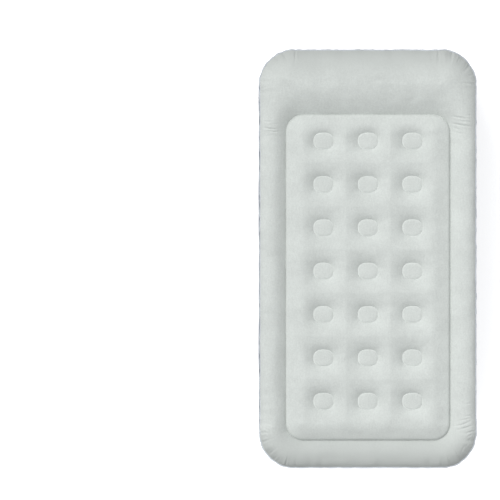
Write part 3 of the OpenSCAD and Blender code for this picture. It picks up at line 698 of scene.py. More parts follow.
def band_mesh(name, tier, step, push, lift, hole=None, opening=None):
    """A tier of the side wall as a mesh: fine at its seams and round the corners."""
    s, columns = 0.0, []
    while s < FOOTPRINT.length - step * 0.3:
        columns.append(s)
        near = min(abs(wrap(s - m, FOOTPRINT.length)) for m in FOOTPRINT.corner_middles)
        s += step * (0.6 + 0.4 * float(ease((near - FOOTPRINT.arc / 2 - 30) / 60)))
    columns = np.array(columns + [FOOTPRINT.length])
    edge = np.array([0, 1.2, 2.8, 5.0, 7.8, 11.2, 15.2])
    rows = np.r_[edge, np.linspace(20, tier.length - 20, max(4, int((tier.length - 40) / (step * 0.75)))),
                 tier.length - edge[::-1]]
    grid_s, grid_t = (g.ravel() for g in np.meshgrid(columns, rows))
    loops = []
    if hole is not None:
        hs, ht, hr = hole
        apart = np.hypot(grid_s - hs, grid_t - ht)
        clear = apart > hr + 9
        grid_s, grid_t = grid_s[clear], grid_t[clear]
        loops = [circle_ring((hs, ht), hr + d, 56) for d in (0, 3, 6.5)]

    def keep(cs, ct):
        ok = np.ones(len(cs), bool)
        if hole is not None:
            ok &= np.hypot(cs - hs, ct - ht) > hr - 0.2
        if opening is not None:
            ok &= ~((cs > opening[0]) & (cs < opening[1]) & (ct > opening[2]) & (ct < opening[3]))
        return ok

    flat, faces = flat_mesh(np.c_[grid_s, grid_t], loops, keep)
    s, t = flat[:, 0], np.clip(flat[:, 1], 0, tier.length)
    points = tier.surface(s, t, push(s, t))
    points[:, 2] += lift(s, t)
    return weld(to_object(name, points, faces, 180), outward=False)


def lathe(profile, centre, count, bump=None):
    """A shape turned about an axis along Y. profile holds (radius, depth); a radius of 0 closes it."""
    points, faces = [], []
    for r, depth in profile:
        for k in range(count):
            a = 2 * math.pi * k / count
            rr = r if bump is None else r + bump(a, r, depth)
            points.append((centre[0] + rr * math.cos(a), centre[1] + depth, centre[2] + rr * math.sin(a)))
    for i in range(len(profile) - 1):
        for k in range(count):
            m = (k + 1) % count
            faces.append((i * count + k, i * count + m, (i + 1) * count + m, (i + 1) * count + k))
    return points, faces


def round_box_ring(half_w, half_h, r, count, between=0):
    """Points round an upright rectangle with round corners, in (x, z), with some along each straight side."""
    corners = []
    for q, (sx, sz) in enumerate([(1, 1), (-1, 1), (-1, -1), (1, -1)]):
        turns = [math.pi / 2 * (q + k / count) for k in range(count + 1)]
        x, z = sx * (half_w - r), sz * (half_h - r)
        corners.append([(x + r * math.cos(a), z + r * math.sin(a)) for a in turns])
    ring = []
    for q, corner in enumerate(corners):
        (x0, z0), (x1, z1) = corner[-1], corners[(q + 1) % 4][0]
        steps = [k / (between + 1) for k in range(1, between + 1)]
        ring += corner + [(x0 + (x1 - x0) * u, z0 + (z1 - z0) * u) for u in steps]
    return ring


def swept_frame(half, r, profile, centre, count, between):
    """A profile of (inset, depth) carried round a rectangle with round corners."""
    points, faces = [], []
    n = 4 * (count + 1 + between)
    for inset, depth in profile:
        rr = max(r - inset, 0.4)
        for x, z in round_box_ring(half[0] - inset, half[1] - inset, rr, count, between):
            points.append((centre[0] + x, centre[1] + depth, centre[2] + z))
    for i in range(len(profile) - 1):
        for k in range(n):
            m = (k + 1) % n
            faces.append((i * n + k, i * n + m, (i + 1) * n + m, (i + 1) * n + k))
    return points, faces


CORNER_STEPS = 6
BEVEL_STEPS = 3
BEVEL_MARGIN = 0.35


class Cut:
    """A hole or an outline in a plate: a rectangle with round corners (or a circle), in (x, z)."""

    def __init__(self, x, z, half_w, half_h, r):
        self.x, self.z, self.w, self.h, self.r = x, z, half_w, half_h, r

    def corner(self, grow):
        """The corner's radius once the outline has grown."""
        return min(max(self.r + grow, 0.15), min(self.w, self.h) + grow)

    def ring(self, grow):
        """Points round the outline grown by an amount."""
        ring = round_box_ring(self.w + grow, self.h + grow, self.corner(grow), CORNER_STEPS)
        return [(self.x + a, self.z + b) for a, b in ring]

    def holds(self, x, z, grow):
        """True for places inside the outline grown by an amount."""
        w, h, r = self.w + grow, self.h + grow, self.corner(grow)
        right, up = np.abs(x - self.x), np.abs(z - self.z)
        return (right < w - 1e-3) & (up < h - 1e-3) & (
            np.hypot(np.maximum(right - w + r, 0), np.maximum(up - h + r, 0)) < r + 0.02)


def plate(outer, cuts, front, back, bevel, centre, blind=()):
    """An upright plate with rounded edges. cuts go through; blind ones are (cut, depth) pockets."""
    turns = [math.pi / 2 * k / BEVEL_STEPS for k in range(BEVEL_STEPS + 1)]
    points, faces = [], []

    def add(ring, depth):
        start = len(points)
        points.extend((centre[0] + x, centre[1] + depth, centre[2] + z) for x, z in ring)
        return start, len(ring)

    def bridge(a, b):
        n = a[1]
        for k in range(n):
            m = (k + 1) % n
            faces.append((a[0] + k, a[0] + m, b[0] + m, b[0] + k))

    def wall(cut, sign, deep):
        """The bevel and the wall of an outline (sign -1) or a hole (sign 1)."""
        rings = [add(cut.ring(sign * (bevel + BEVEL_MARGIN)), front)]
        for t in turns:
            rings.append(add(cut.ring(sign * bevel * (1 - math.sin(t))), front + bevel * (1 - math.cos(t))))
        rings.append(add(cut.ring(0.0), deep))
        for a, b in zip(rings, rings[1:]):
            bridge(a, b)

    def cap(outline, holes, grow, depth):
        """A flat face inside an outline, round holes that have grown by an amount."""

        def solid(cx, cz):
            if not holes:
                return np.ones(len(cx), bool)
            return ~np.any([h.holds(cx, cz, grow) for h in holes], axis=0)

        flat, tris = flat_mesh([], [outline] + [h.ring(grow) for h in holes], solid)
        start, _ = add(flat, depth)
        faces.extend(tuple(start + i for i in t) for t in tris)

    wall(outer, -1, back)
    for cut in cuts:
        wall(cut, 1, back)
    for cut, depth in blind:
        wall(cut, 1, front + depth)
    cap(outer.ring(-bevel - BEVEL_MARGIN), [*cuts, *(c for c, _ in blind)], bevel + BEVEL_MARGIN, front)
    cap(outer.ring(0), cuts, 0.0, back)
    for cut, depth in blind:
        cap(cut.ring(0), [], 0.0, front + depth)
    return points, faces


# ---------------------------------------------------------------- materials


def shader_group(name, inputs, outputs, build):
    """A node group made once: inputs and outputs are {name: (socket type, default)}."""
    if name in bpy.data.node_groups:
        return bpy.data.node_groups[name]
    tree = bpy.data.node_groups.new(name, "ShaderNodeTree")
    for label, (kind, default) in inputs.items():
        socket = tree.interface.new_socket(label, in_out="INPUT", socket_type=kind)
        socket.default_value = default
    for label, kind in outputs.items():
        tree.interface.new_socket(label, in_out="OUTPUT", socket_type=kind)
    build(tree, tree.nodes.new("NodeGroupInput"), tree.nodes.new("NodeGroupOutput"))
    return tree


def feed(tree, node, **inputs):
    """Feeds a node's inputs by name, where _ stands for a space: a socket is linked, a value is set."""
    for label, value in inputs.items():
        socket = node.inputs[label.replace("_", " ")]
        if isinstance(value, bpy.types.NodeSocket):
            tree.links.new(value, socket)
        else:
            socket.default_value = value
    return node


def add_node(tree, kind, **inputs):
    """A new node with its inputs fed."""
    return feed(tree, tree.nodes.new(kind), **inputs)


def math_node(tree, operation, a, b, clamp=False):
    """A Math node's output; a and b are sockets or numbers."""
    node = tree.nodes.new("ShaderNodeMath")
    node.operation = operation
    node.use_clamp = clamp
    for socket, value in zip(node.inputs, (a, b)):
        if isinstance(value, bpy.types.NodeSocket):
            tree.links.new(value, socket)
        else:
            socket.default_value = value
    return node.outputs[0]


def noise_node(tree, vector, scale, detail, rough):
    """A Noise Texture's value; scale is a socket or a number."""
    node = add_node(tree, "ShaderNodeTexNoise", Vector=vector, Scale=scale, Detail=detail, Roughness=rough)
    return node.outputs["Fac"]


def object_place(tree):
    """Where a point lies on its own object, in metres."""
    return tree.nodes.new("ShaderNodeTexCoord").outputs["Object"]


def nap_group():
    """Short flocked nap: fibres, lint, brushed streaks and a soft mottle."""

    def build(tree, given, out):
        where = object_place(tree)
        fibres = noise_node(tree, where, given.outputs["Fibre scale"], 4.0, 0.7)
        clumps = noise_node(tree, where, 140.0, 4.0, 0.7)
        streaks = []
        for turn in (0.4, 1.5, -0.8):
            lay = add_node(tree, "ShaderNodeMapping", Vector=where, Rotation=(0, 0, turn),
                           Scale=(1.0, 0.3, 1.0))
            streaks.append(noise_node(tree, lay.outputs["Vector"], 120.0, 4.0, 0.7))
        brushed = math_node(tree, "MAXIMUM", math_node(tree, "MAXIMUM", streaks[0], streaks[1]), streaks[2])
        mottle = noise_node(tree, where, 9.0, 4.0, 0.6)
        height = math_node(tree, "ADD", math_node(tree, "MULTIPLY", fibres, 0.6),
                           math_node(tree, "MULTIPLY", clumps, given.outputs["Clumps"]))
        tone = math_node(tree, "ADD", math_node(tree, "MULTIPLY", mottle, 0.26),
                         math_node(tree, "MULTIPLY", brushed, given.outputs["Brushed"]))
        tone = math_node(tree, "ADD", tone, math_node(tree, "MULTIPLY", clumps, 0.42))
        feed(tree, out, Height=height, Tone=tone)

    return shader_group(
        "Short nap",
        {"Fibre scale": ("NodeSocketFloat", 900.0), "Clumps": ("NodeSocketFloat", 0.5),
         "Brushed": ("NodeSocketFloat", 0.4)},
        {"Height": "NodeSocketFloat", "Tone": "NodeSocketFloat"}, build)


def film_group():
    """Embossed plastic film: a fine pebbled grain over a slight unevenness."""

    def build(tree, given, out):
        where = object_place(tree)
        cells = tree.nodes.new("ShaderNodeTexVoronoi")
        cells.feature = "SMOOTH_F1"
        feed(tree, cells, Vector=where, Scale=given.outputs["Grain scale"])
        uneven = noise_node(tree, where, given.outputs["Wave scale"], 2.0, 0.5)
        grain = math_node(tree, "MULTIPLY", cells.outputs["Distance"], given.outputs["Grain"])
        height = math_node(tree, "ADD", grain, math_node(tree, "MULTIPLY", uneven, given.outputs["Waves"]))
        feed(tree, out, Height=height, Tone=uneven)

    return shader_group(
        "Embossed film",
        {"Grain scale": ("NodeSocketFloat", 700.0), "Grain": ("NodeSocketFloat", 0.25),
         "Wave scale": ("NodeSocketFloat", 22.0), "Waves": ("NodeSocketFloat", 1.0)},
        {"Height": "NodeSocketFloat", "Tone": "NodeSocketFloat"}, build)


def wear_group():
    """Patches of dust and a lighter rub on the edges, as masks."""

    def build(tree, given, out):
        where = object_place(tree)
        geometry = tree.nodes.new("ShaderNodeNewGeometry")
        speckle = noise_node(tree, where, 160.0, 4.0, 0.65)
        patch = noise_node(tree, where, 18.0, 2.0, 0.5)
        raised = math_node(tree, "SUBTRACT", geometry.outputs["Pointiness"], 0.53)
        edges = math_node(tree, "MULTIPLY", raised, given.outputs["Edge"], True)
        patches = math_node(tree, "SUBTRACT", patch, 0.45, True)
        feed(tree, out, Rub=math_node(tree, "MULTIPLY", edges, speckle),
             Dust=math_node(tree, "MULTIPLY", patches, given.outputs["Dust"]))

    return shader_group(
        "Handling wear",
        {"Edge": ("NodeSocketFloat", 9.0), "Dust": ("NodeSocketFloat", 0.5)},
        {"Rub": "NodeSocketFloat", "Dust": "NodeSocketFloat"}, build)


def new_material(name):
    """A material with only its Principled shader."""
    material = bpy.data.materials.new(name)
    material.use_nodes = True
    return material, material.node_tree, material.node_tree.nodes["Principled BSDF"]


def group_node(tree, group, **values):
    """A node group placed in a material, with its own values."""
    node = tree.nodes.new("ShaderNodeGroup")
    node.node_tree = group
    return feed(tree, node, **values)


def blend_colour(tree, mask, low, high):
    """Mixes two colours, each a socket or three numbers, by a mask socket."""
    mix = tree.nodes.new("ShaderNodeMix")
    mix.data_type = "RGBA"
    tree.links.new(mask, mix.inputs["Factor"])
    for socket, colour in zip((mix.inputs[6], mix.inputs[7]), (low, high)):
        if isinstance(colour, bpy.types.NodeSocket):
            tree.links.new(colour, socket)
        else:
            socket.default_value = (*colour, 1.0)
    return mix.outputs[2]


def remap(tree, value, low, high, to_low, to_high):
    """A socket's value, with low to high stretched over to_low to to_high and held beyond them."""
    ends = {"From_Min": low, "From_Max": high, "To_Min": to_low, "To_Max": to_high}
    return add_node(tree, "ShaderNodeMapRange", Value=value, **ends).outputs["Result"]


def tone_roughness(tree, tone, low, high):
    """A roughness that follows a group's tone."""
    return remap(tree, tone, 0.3, 0.7, low, high)


def bump_into(tree, shader, height, distance, strength):
    """Gives a shader a bump from a height."""
    node = add_node(tree, "ShaderNodeBump", Height=height, Distance=distance, Strength=strength)
    feed(tree, shader, Normal=node.outputs["Normal"])


def tint(colour, factor):
    """A colour made darker or lighter."""
    return tuple(min(1.0, c * factor) for c in colour)


def flock_material(colour):
    """Pale short-pile flock on PVC."""
    material, tree, shader = new_material("flocked top")
    nap = group_node(tree, nap_group(), Fibre_scale=1100.0, Clumps=0.8, Brushed=0.34)
    tone = remap(tree, nap.outputs["Tone"], 0.42, 0.64, 0.0, 1.0)
    base = blend_colour(tree, tone, tint(colour, 0.91), tint(colour, 1.08))
    # painted highlight: paler on a ring at each dimple's weld; painted shade: greyer towards the mattress's two
    # ends
    pressed = tree.nodes.new("ShaderNodeAttribute")
    pressed.attribute_name = PAINTED_WELD_HIGHLIGHT
    base = blend_colour(tree, pressed.outputs["Fac"], base, tint(colour, 1.3))
    # painted shade: the flock is darkened towards the head and the foot, by its place along Y
    along = add_node(tree, "ShaderNodeSeparateXYZ", Vector=object_place(tree)).outputs["Y"]
    head = remap(tree, along, 0.80, 0.93, 0.0, 0.85)
    foot = remap(tree, along, -0.76, -0.90, 0.0, 0.95)
    ends = math_node(tree, "ADD", head, foot)
    feed(tree, shader, Base_Color=blend_colour(tree, ends, base, tint(colour, 0.78)), Roughness=0.92,
         Specular_IOR_Level=0.25, Sheen_Weight=0.22, Sheen_Roughness=0.45)
    bump_into(tree, shader, nap.outputs["Height"], 0.0009, 0.55)
    return material


def film_material(name, colour, roughness=0.36, grain=0.25, waves=1.0):
    """Satin PVC film with an embossed grain."""
    material, tree, shader = new_material(name)
    film = group_node(tree, film_group(), Grain=grain, Waves=waves)
    wear = group_node(tree, wear_group(), Edge=4.0, Dust=0.35)
    tone = remap(tree, film.outputs["Tone"], 0.3, 0.7, 0.0, 1.0)
    base = blend_colour(tree, tone, tint(colour, 0.9), tint(colour, 1.12))
    feed(tree, shader, Base_Color=blend_colour(tree, wear.outputs["Dust"], base, tint(colour, 1.9)),
         Roughness=tone_roughness(tree, film.outputs["Tone"], roughness - 0.04, roughness + 0.06),
         Specular_IOR_Level=0.5, Coat_Weight=0.12, Coat_Roughness=0.3)
    bump_into(tree, shader, film.outputs["Height"], 0.0006, 0.5)
    return material


def plastic_material(name, colour, roughness=0.5, grain=0.6, edge=10.0, coat=0.0):
    """Moulded plastic with a spark-eroded texture and rubbed edges."""
    material, tree, shader = new_material(name)
    film = group_node(tree, film_group(), Grain_scale=1800.0, Grain=grain, Wave_scale=60.0, Waves=0.2)
    wear = group_node(tree, wear_group(), Edge=edge, Dust=0.4)
    base = blend_colour(tree, wear.outputs["Dust"], colour, tint(colour, 1.5))
    feed(tree, shader, Base_Color=blend_colour(tree, wear.outputs["Rub"], base, tint(colour, 3.0)),
         Roughness=tone_roughness(tree, film.outputs["Tone"], roughness - 0.05, roughness + 0.07),
         Coat_Weight=coat, Coat_Roughness=0.08)
    bump_into(tree, shader, film.outputs["Height"], 0.0002, 0.35)
    return material


def metal_material(name, colour, roughness):
    """Plated steel with fine uneven brightness."""
    material, tree, shader = new_material(name)
    film = group_node(tree, film_group(), Grain_scale=2500.0, Grain=0.3, Wave_scale=90.0, Waves=0.3)
    base = blend_colour(tree, film.outputs["Tone"], tint(colour, 0.85), tint(colour, 1.1))
    feed(tree, shader, Base_Color=base, Metallic=1.0,
         Roughness=tone_roughness(tree, film.outputs["Tone"], roughness - 0.06, roughness + 0.08))
    bump_into(tree, shader, film.outputs["Height"], 0.0001, 0.3)
    return material


def ink_material(colour):
    """Screen-printed ink, a little uneven in cover."""
    material, tree, shader = new_material("white ink")
    film = group_node(tree, film_group(), Grain_scale=900.0, Grain=0.5, Wave_scale=70.0, Waves=0.4)
    tone = film.outputs["Tone"]
    feed(tree, shader, Base_Color=blend_colour(tree, tone, tint(colour, 0.88), tint(colour, 1.05)),
         Roughness=tone_roughness(tree, tone, 0.42, 0.55))
    bump_into(tree, shader, film.outputs["Height"], 0.0002, 0.3)
    return material


def floor_material():
    """A near-white sweep that glows a little."""
    material, tree, shader = new_material("studio floor")
    feed(tree, shader, Base_Color=(0.90, 0.902, 0.905, 1.0), Roughness=0.7, Specular_IOR_Level=0.2,
         Emission_Color=(1.0, 1.0, 1.0, 1.0), Emission_Strength=0.50)
    return material


FINISHES = {}


def finish(name):
    """A finish by name, made the first time that it is asked for."""
    colours = bpy.context.scene.mattress_colours
    film, plastic = tuple(colours.film), tuple(colours.plastic)
    makers = {
        "flock": lambda: flock_material(tuple(colours.flock)),
        "flock flange": lambda: film_material(
            "flocked sheet's weld flange", (0.46, 0.49, 0.52), 0.6, 0.4, 0.6),
        "film": lambda: film_material("navy film", film),
        "base film": lambda: film_material("base film", (0.13, 0.155, 0.21), 0.5),
        # painted shade: the seam lips' finish is the navy film darkened to a quarter, standing for the shade in
        # the welded seams
        "weld": lambda: film_material("weld lip", tint(film, 0.25), 0.32, 0.15, 0.5),
        # painted highlight: the pump rim's finish is the navy film lightened, standing for the light on the
        # raised rim
        "rim": lambda: film_material("pump rim", (0.045, 0.070, 0.135), 0.34, 0.15, 0.3),
        # painted highlight: the valve ring's finish is the navy film lightened, standing for the welded ring
        # catching the light
        "valve ring with painted highlight": lambda: film_material("valve's welded ring", (0.10, 0.13, 0.22), 0.28, 0.1, 0.2),
        "inner film": lambda: film_material("inner film", (0.22, 0.25, 0.31), 0.45),
        "plastic": lambda: plastic_material("grey plastic", plastic),
        "door plastic": lambda: plastic_material("door plastic", tint(plastic, 2.5), 0.42, 0.5),
        "label plastic": lambda: plastic_material("door recess", tint(plastic, 0.14), 0.3, 0.2),
        "knob plastic": lambda: plastic_material("knob plastic", tint(plastic, 1.15), 0.26, 0.12, 12.0, 0.25),
        "gloss black": lambda: plastic_material("gloss black", (0.004, 0.004, 0.006), 0.14, 0.05, 4.0),
        "valve plastic": lambda: plastic_material("valve plastic", (0.006, 0.008, 0.016), 0.16, 0.08, 6.0, 0.3),
        "fan nylon": lambda: plastic_material("fan nylon", (0.55, 0.55, 0.52), 0.45, 0.4),
        "rubber": lambda: plastic_material("black rubber", (0.018, 0.018, 0.018), 0.65, 0.4, 3.0),
        "silicone": lambda: plastic_material("milky silicone", (0.33, 0.39, 0.42), 0.4, 0.2, 3.0),
        "steel": lambda: metal_material("plated steel", (0.52, 0.52, 0.54), 0.34),
        "dark steel": lambda: metal_material("blackened steel", (0.11, 0.11, 0.12), 0.38),
        "ink": lambda: ink_material(tuple(colours.ink)),
        "floor": floor_material,
    }
    if name not in FINISHES:
        FINISHES[name] = makers[name]()
    return FINISHES[name]


# ---------------------------------------------------------------- operators: the soft parts


COARSE_STEP, FINE_STEP = 8.0, 5.6
# the painted highlight ring just inside each dimple's weld: its attribute's name, where it lies, how wide and
# how strong
PAINTED_WELD_HIGHLIGHT = "pressed"
PAINTED_WELD_HIGHLIGHT_AT, PAINTED_WELD_HIGHLIGHT_WIDE, PAINTED_WELD_HIGHLIGHT_MOST = 0.955, 0.035, 0.45


class SleepingTop(bpy.types.Operator):
    """Build the flocked top: border tube, pillow and dimpled sleeping panel in one sheet"""

    bl_idname = "mattress.sleeping_top"
    bl_label = "Flocked top"

    def execute(self, context):
        shape = context.scene.mattress_shape
        creases = crease_list(shape)
        sharp = [c for c in creases if c[5] >= 1.1 and c[4] < 6]
        flat, faces = top_sheet_flat(FINE_STEP, sharp)
        x, y = flat.T
        inside, panel = BORDER.distance(x, y), PANEL.distance(x, y)
        z = np.where(panel > 0, panel_height(x, y, panel, shape),
                     border_height(x, y, np.maximum(inside, 0), np.maximum(-panel, 0)))
        seam = gathers(shape.seed + 1, BORDER, 17, 95)
        rng = np.random.default_rng(shape.seed)
        seam += [(at, rng.uniform(-0.35, 0.35), rng.uniform(46, 84), rng.uniform(3.8, 5.2), 1.25 * deep)
                 for at, deep in NOTCHES]
        groove = gathers(shape.seed + 2, PANEL, 21, 120)
        nearest = BORDER.nearest(x, y)
        tube = np.where(panel > 0, 0.0, 1.0)
        depth = tube * shape.gather_depth
        z += depth * 0.8 * gather_relief(seam, nearest, np.maximum(inside, 0), BORDER.length)
        z += depth * 0.5 * gather_relief(groove, PANEL.nearest(x, y), np.maximum(-panel, 0), PANEL.length)
        z += ease(inside / 14) * ease(np.abs(panel) / 9) * (
            crease_relief(creases, x, y) * ease((dimple_coordinate(x, y) - 1) / 0.3)
            + 0.8 * swell(41, x, y, 150) * (panel < 0) + 0.4 * swell(42, x, y, 60))
        out = BORDER.walk(nearest)[1] * (seam_reach(nearest) * np.exp(-((inside / 40.0) ** 2)))[:, None]
        top = to_object("flocked_top", np.c_[flat + out, z], faces, 180)
        # a painted highlight ring just inside each dimple's weld, kept on the points for the flock's colour
        ring = np.exp(-(((dimple_coordinate(x, y) - PAINTED_WELD_HIGHLIGHT_AT) / PAINTED_WELD_HIGHLIGHT_WIDE) ** 2))
        pressed = top.data.attributes.new(PAINTED_WELD_HIGHLIGHT, "FLOAT", "POINT")
        pressed.data.foreach_set("value", PAINTED_WELD_HIGHLIGHT_MOST * ring)
        finish_piece(top, ROOT, ("border_sheet", "sleeping_panel"), finish("flock"))
        return {"FINISHED"}


WALL_COARSE_STEP, WALL_FINE_STEP = 10.0, 5.6
VALVE_HOLE_R = 30.2
PUMP_OPENING = (104, 57)


class SideWall(bpy.types.Operator):
    """Build the three tiers of the navy side wall with their gathers"""

    bl_idname = "mattress.side_wall"
    bl_label = "Side wall"

    def execute(self, context):
        shape = context.scene.mattress_shape
        step = WALL_FINE_STEP
        period = FOOTPRINT.length

        def seam_folds(seed, dense, sparse):
            return gathers(shape.seed + seed, FOOTPRINT, dense, sparse, lambda s: near_fittings(s, -75))

        def folded(seed, tier, low, high):
            below, above = seam_folds(seed, *low), seam_folds(seed + 1, *high)
            return lambda s, t: shape.gather_depth * (
                gather_relief(below, s, t, period) + gather_relief(above, s, tier.length - t, period))

        def slack(seed, tier, s, t):
            creases = slack_creases(shape.seed + seed, tier, near_fittings if tier is MIDDLE else None)
            return crease_relief(creases, s, t) * np.sin(math.pi * t / tier.length)

        def seam_wave(low, high, tier):
            def one(seed, s, away):
                return waist_wave(seed, s) * np.exp(-((away / 18.0) ** 2)) * (seed > 0)

            return lambda s, t: one(low, s, t) + one(high, s, tier.length - t)

        upper_folds = folded(50, UPPER, (11, 150), (22, 110))
        middle_folds = folded(60, MIDDLE, (13, 180), (11, 160))
        lower_folds = folded(70, LOWER, (20, 150), (13, 180))

        def upper_push(s, t):
            swelling = 0.9 * np.sin(math.pi * t / UPPER.length) * band_swell(33, s, t, period, 190)
            return upper_folds(s, t) + swelling + slack(52, UPPER, s, t)

        def lower_push(s, t):
            swelling = np.sin(math.pi * t / LOWER.length) * (band_swell(34, s, t, period, 210) - 1.0)
            return lower_folds(s, t) + swelling + slack(72, LOWER, s, t)

        def fitted_push(s, t):
            away = np.abs(wrap(s - end_wall_s(PUMP[0]), period))
            folds = middle_folds(s, t) * ease((away - 120) / 40)
            return middle_push(s, t, shape) + folds + slack(62, MIDDLE, s, t)

        upper = band_mesh("upper_tier", UPPER, step, upper_push, seam_wave(83, 0, UPPER))
        self.drop_seam(upper)
        half_w, half_h = PUMP_OPENING
        hole = (end_wall_s(VALVE[0]), MIDDLE.t_at(VALVE[2]), VALVE_HOLE_R)
        opening = (end_wall_s(PUMP[0] - half_w), end_wall_s(PUMP[0] + half_w),
                   MIDDLE.t_at(PUMP[2] - half_h), MIDDLE.t_at(PUMP[2] + half_h))
        middle = band_mesh("middle_tier", MIDDLE, step, fitted_push, seam_wave(81, 83, MIDDLE), hole, opening)
        lower = band_mesh("lower_tier", LOWER, step, lower_push, seam_wave(0, 81, LOWER))
        for obj, node in ((upper, "upper_wall"), (middle, "middle_wall"), (lower, "lower_wall")):
            finish_piece(obj, ROOT, (node,), finish("film"))
        return {"FINISHED"}

    def drop_seam(self, obj):
        """Moves the upper tier's top edge with the seam's own rise and fall."""
        count = len(obj.data.vertices)
        co = np.empty(count * 3)
        obj.data.vertices.foreach_get("co", co)
        co = co.reshape(-1, 3) / MM
        fade = np.exp(-((np.maximum(TOP_SEAM_Z - co[:, 2], 0) / 42.0) ** 2))
        s = BORDER.nearest(co[:, 0], co[:, 1])
        co[:, 2] += seam_height(s) * fade
        co[:, :2] += BORDER.walk(s)[1] * (seam_reach(s) * fade)[:, None]
        obj.data.vertices.foreach_set("co", (co * MM).ravel())
        obj.data.update()


class SeamLips(bpy.types.Operator):
    """Build the welded lips at the top and bottom seams, and the flocked sheet's flange"""

    bl_idname = "mattress.seam_lips"
    bl_label = "Seam lips"

    def execute(self, context):
        # the top and bottom lips wear the navy film darkened to a quarter, painted shade in the welded seams
        section = [(0.0, 0.0), (2.2, -0.8), (4.0, -1.8), (4.3, -2.8), (3.8, -3.8), (2.0, -3.0), (-0.6, -2.0)]
        upper = self.lip("top_seam_lip", section, BORDER, TOP_SEAM_Z, seam_height, 0.8, seam_reach)
        finish_piece(upper, ROOT, ("top_seam_weld",), finish("weld"))
        section = [(-1.0, 1.8), (1.6, 1.5), (4.0, 0.8), (4.9, 0.0), (3.8, -0.6), (1.0, 0.0), (-1.0, 0.0)]
        flange = self.lip("flocked_flange", section, BORDER, TOP_SEAM_Z, seam_height, 0.8, seam_reach)
        finish_piece(flange, ROOT, (), finish("flock flange"))
        bottom = Outline(BASE_LOW, BASE_HIGH, BASE_R)
        section = [(-1.0, 0.7), (2.8, 0.3), (4.6, -0.3), (4.8, -1.0), (3.0, -1.2), (-1.0, -0.8)]
        foot = self.lip("bottom_seam_lip", section, bottom, WALL_LOW[2],
                        lambda s: 0.5 * ripple(91, s, bottom.length, 60) - 0.3, 0.3, np.zeros_like)
        finish_piece(foot, ROOT, ("bottom_seam_weld",), finish("weld"))
        return {"FINISHED"}

    def lip(self, name, section, outline, z, height, wander, stand_out):
        """A thin flange swept along a seam, with a wandering edge."""
        count = int(outline.length / 9)
        s = np.arange(count) * outline.length / count
        xy, n = outline.walk(s)
        xy = xy + n * stand_out(s)[:, None]
        edge = wander * ripple(13, s, outline.length, 48)
        droop = wander * 0.9 * ripple(14, s, outline.length, 37)
        rings = []
        for out, up in section:
            reach = max(out, 0) / 5.0
            rings.append(np.c_[xy + n * (out + edge * reach)[:, None], z + height(s) + up + droop * reach])
        points = np.concatenate(rings)
        m = len(section)
        faces = [((i * count + k), (i * count + (k + 1) % count), ((i + 1) % m * count + (k + 1) % count),
                  ((i + 1) % m * count + k)) for i in range(m) for k in range(count)]
        return weld(to_object(name, points, faces, 60))


LINE_W = 0.9
PRINT_LIFT = 0.35
SLANT = 0.7071


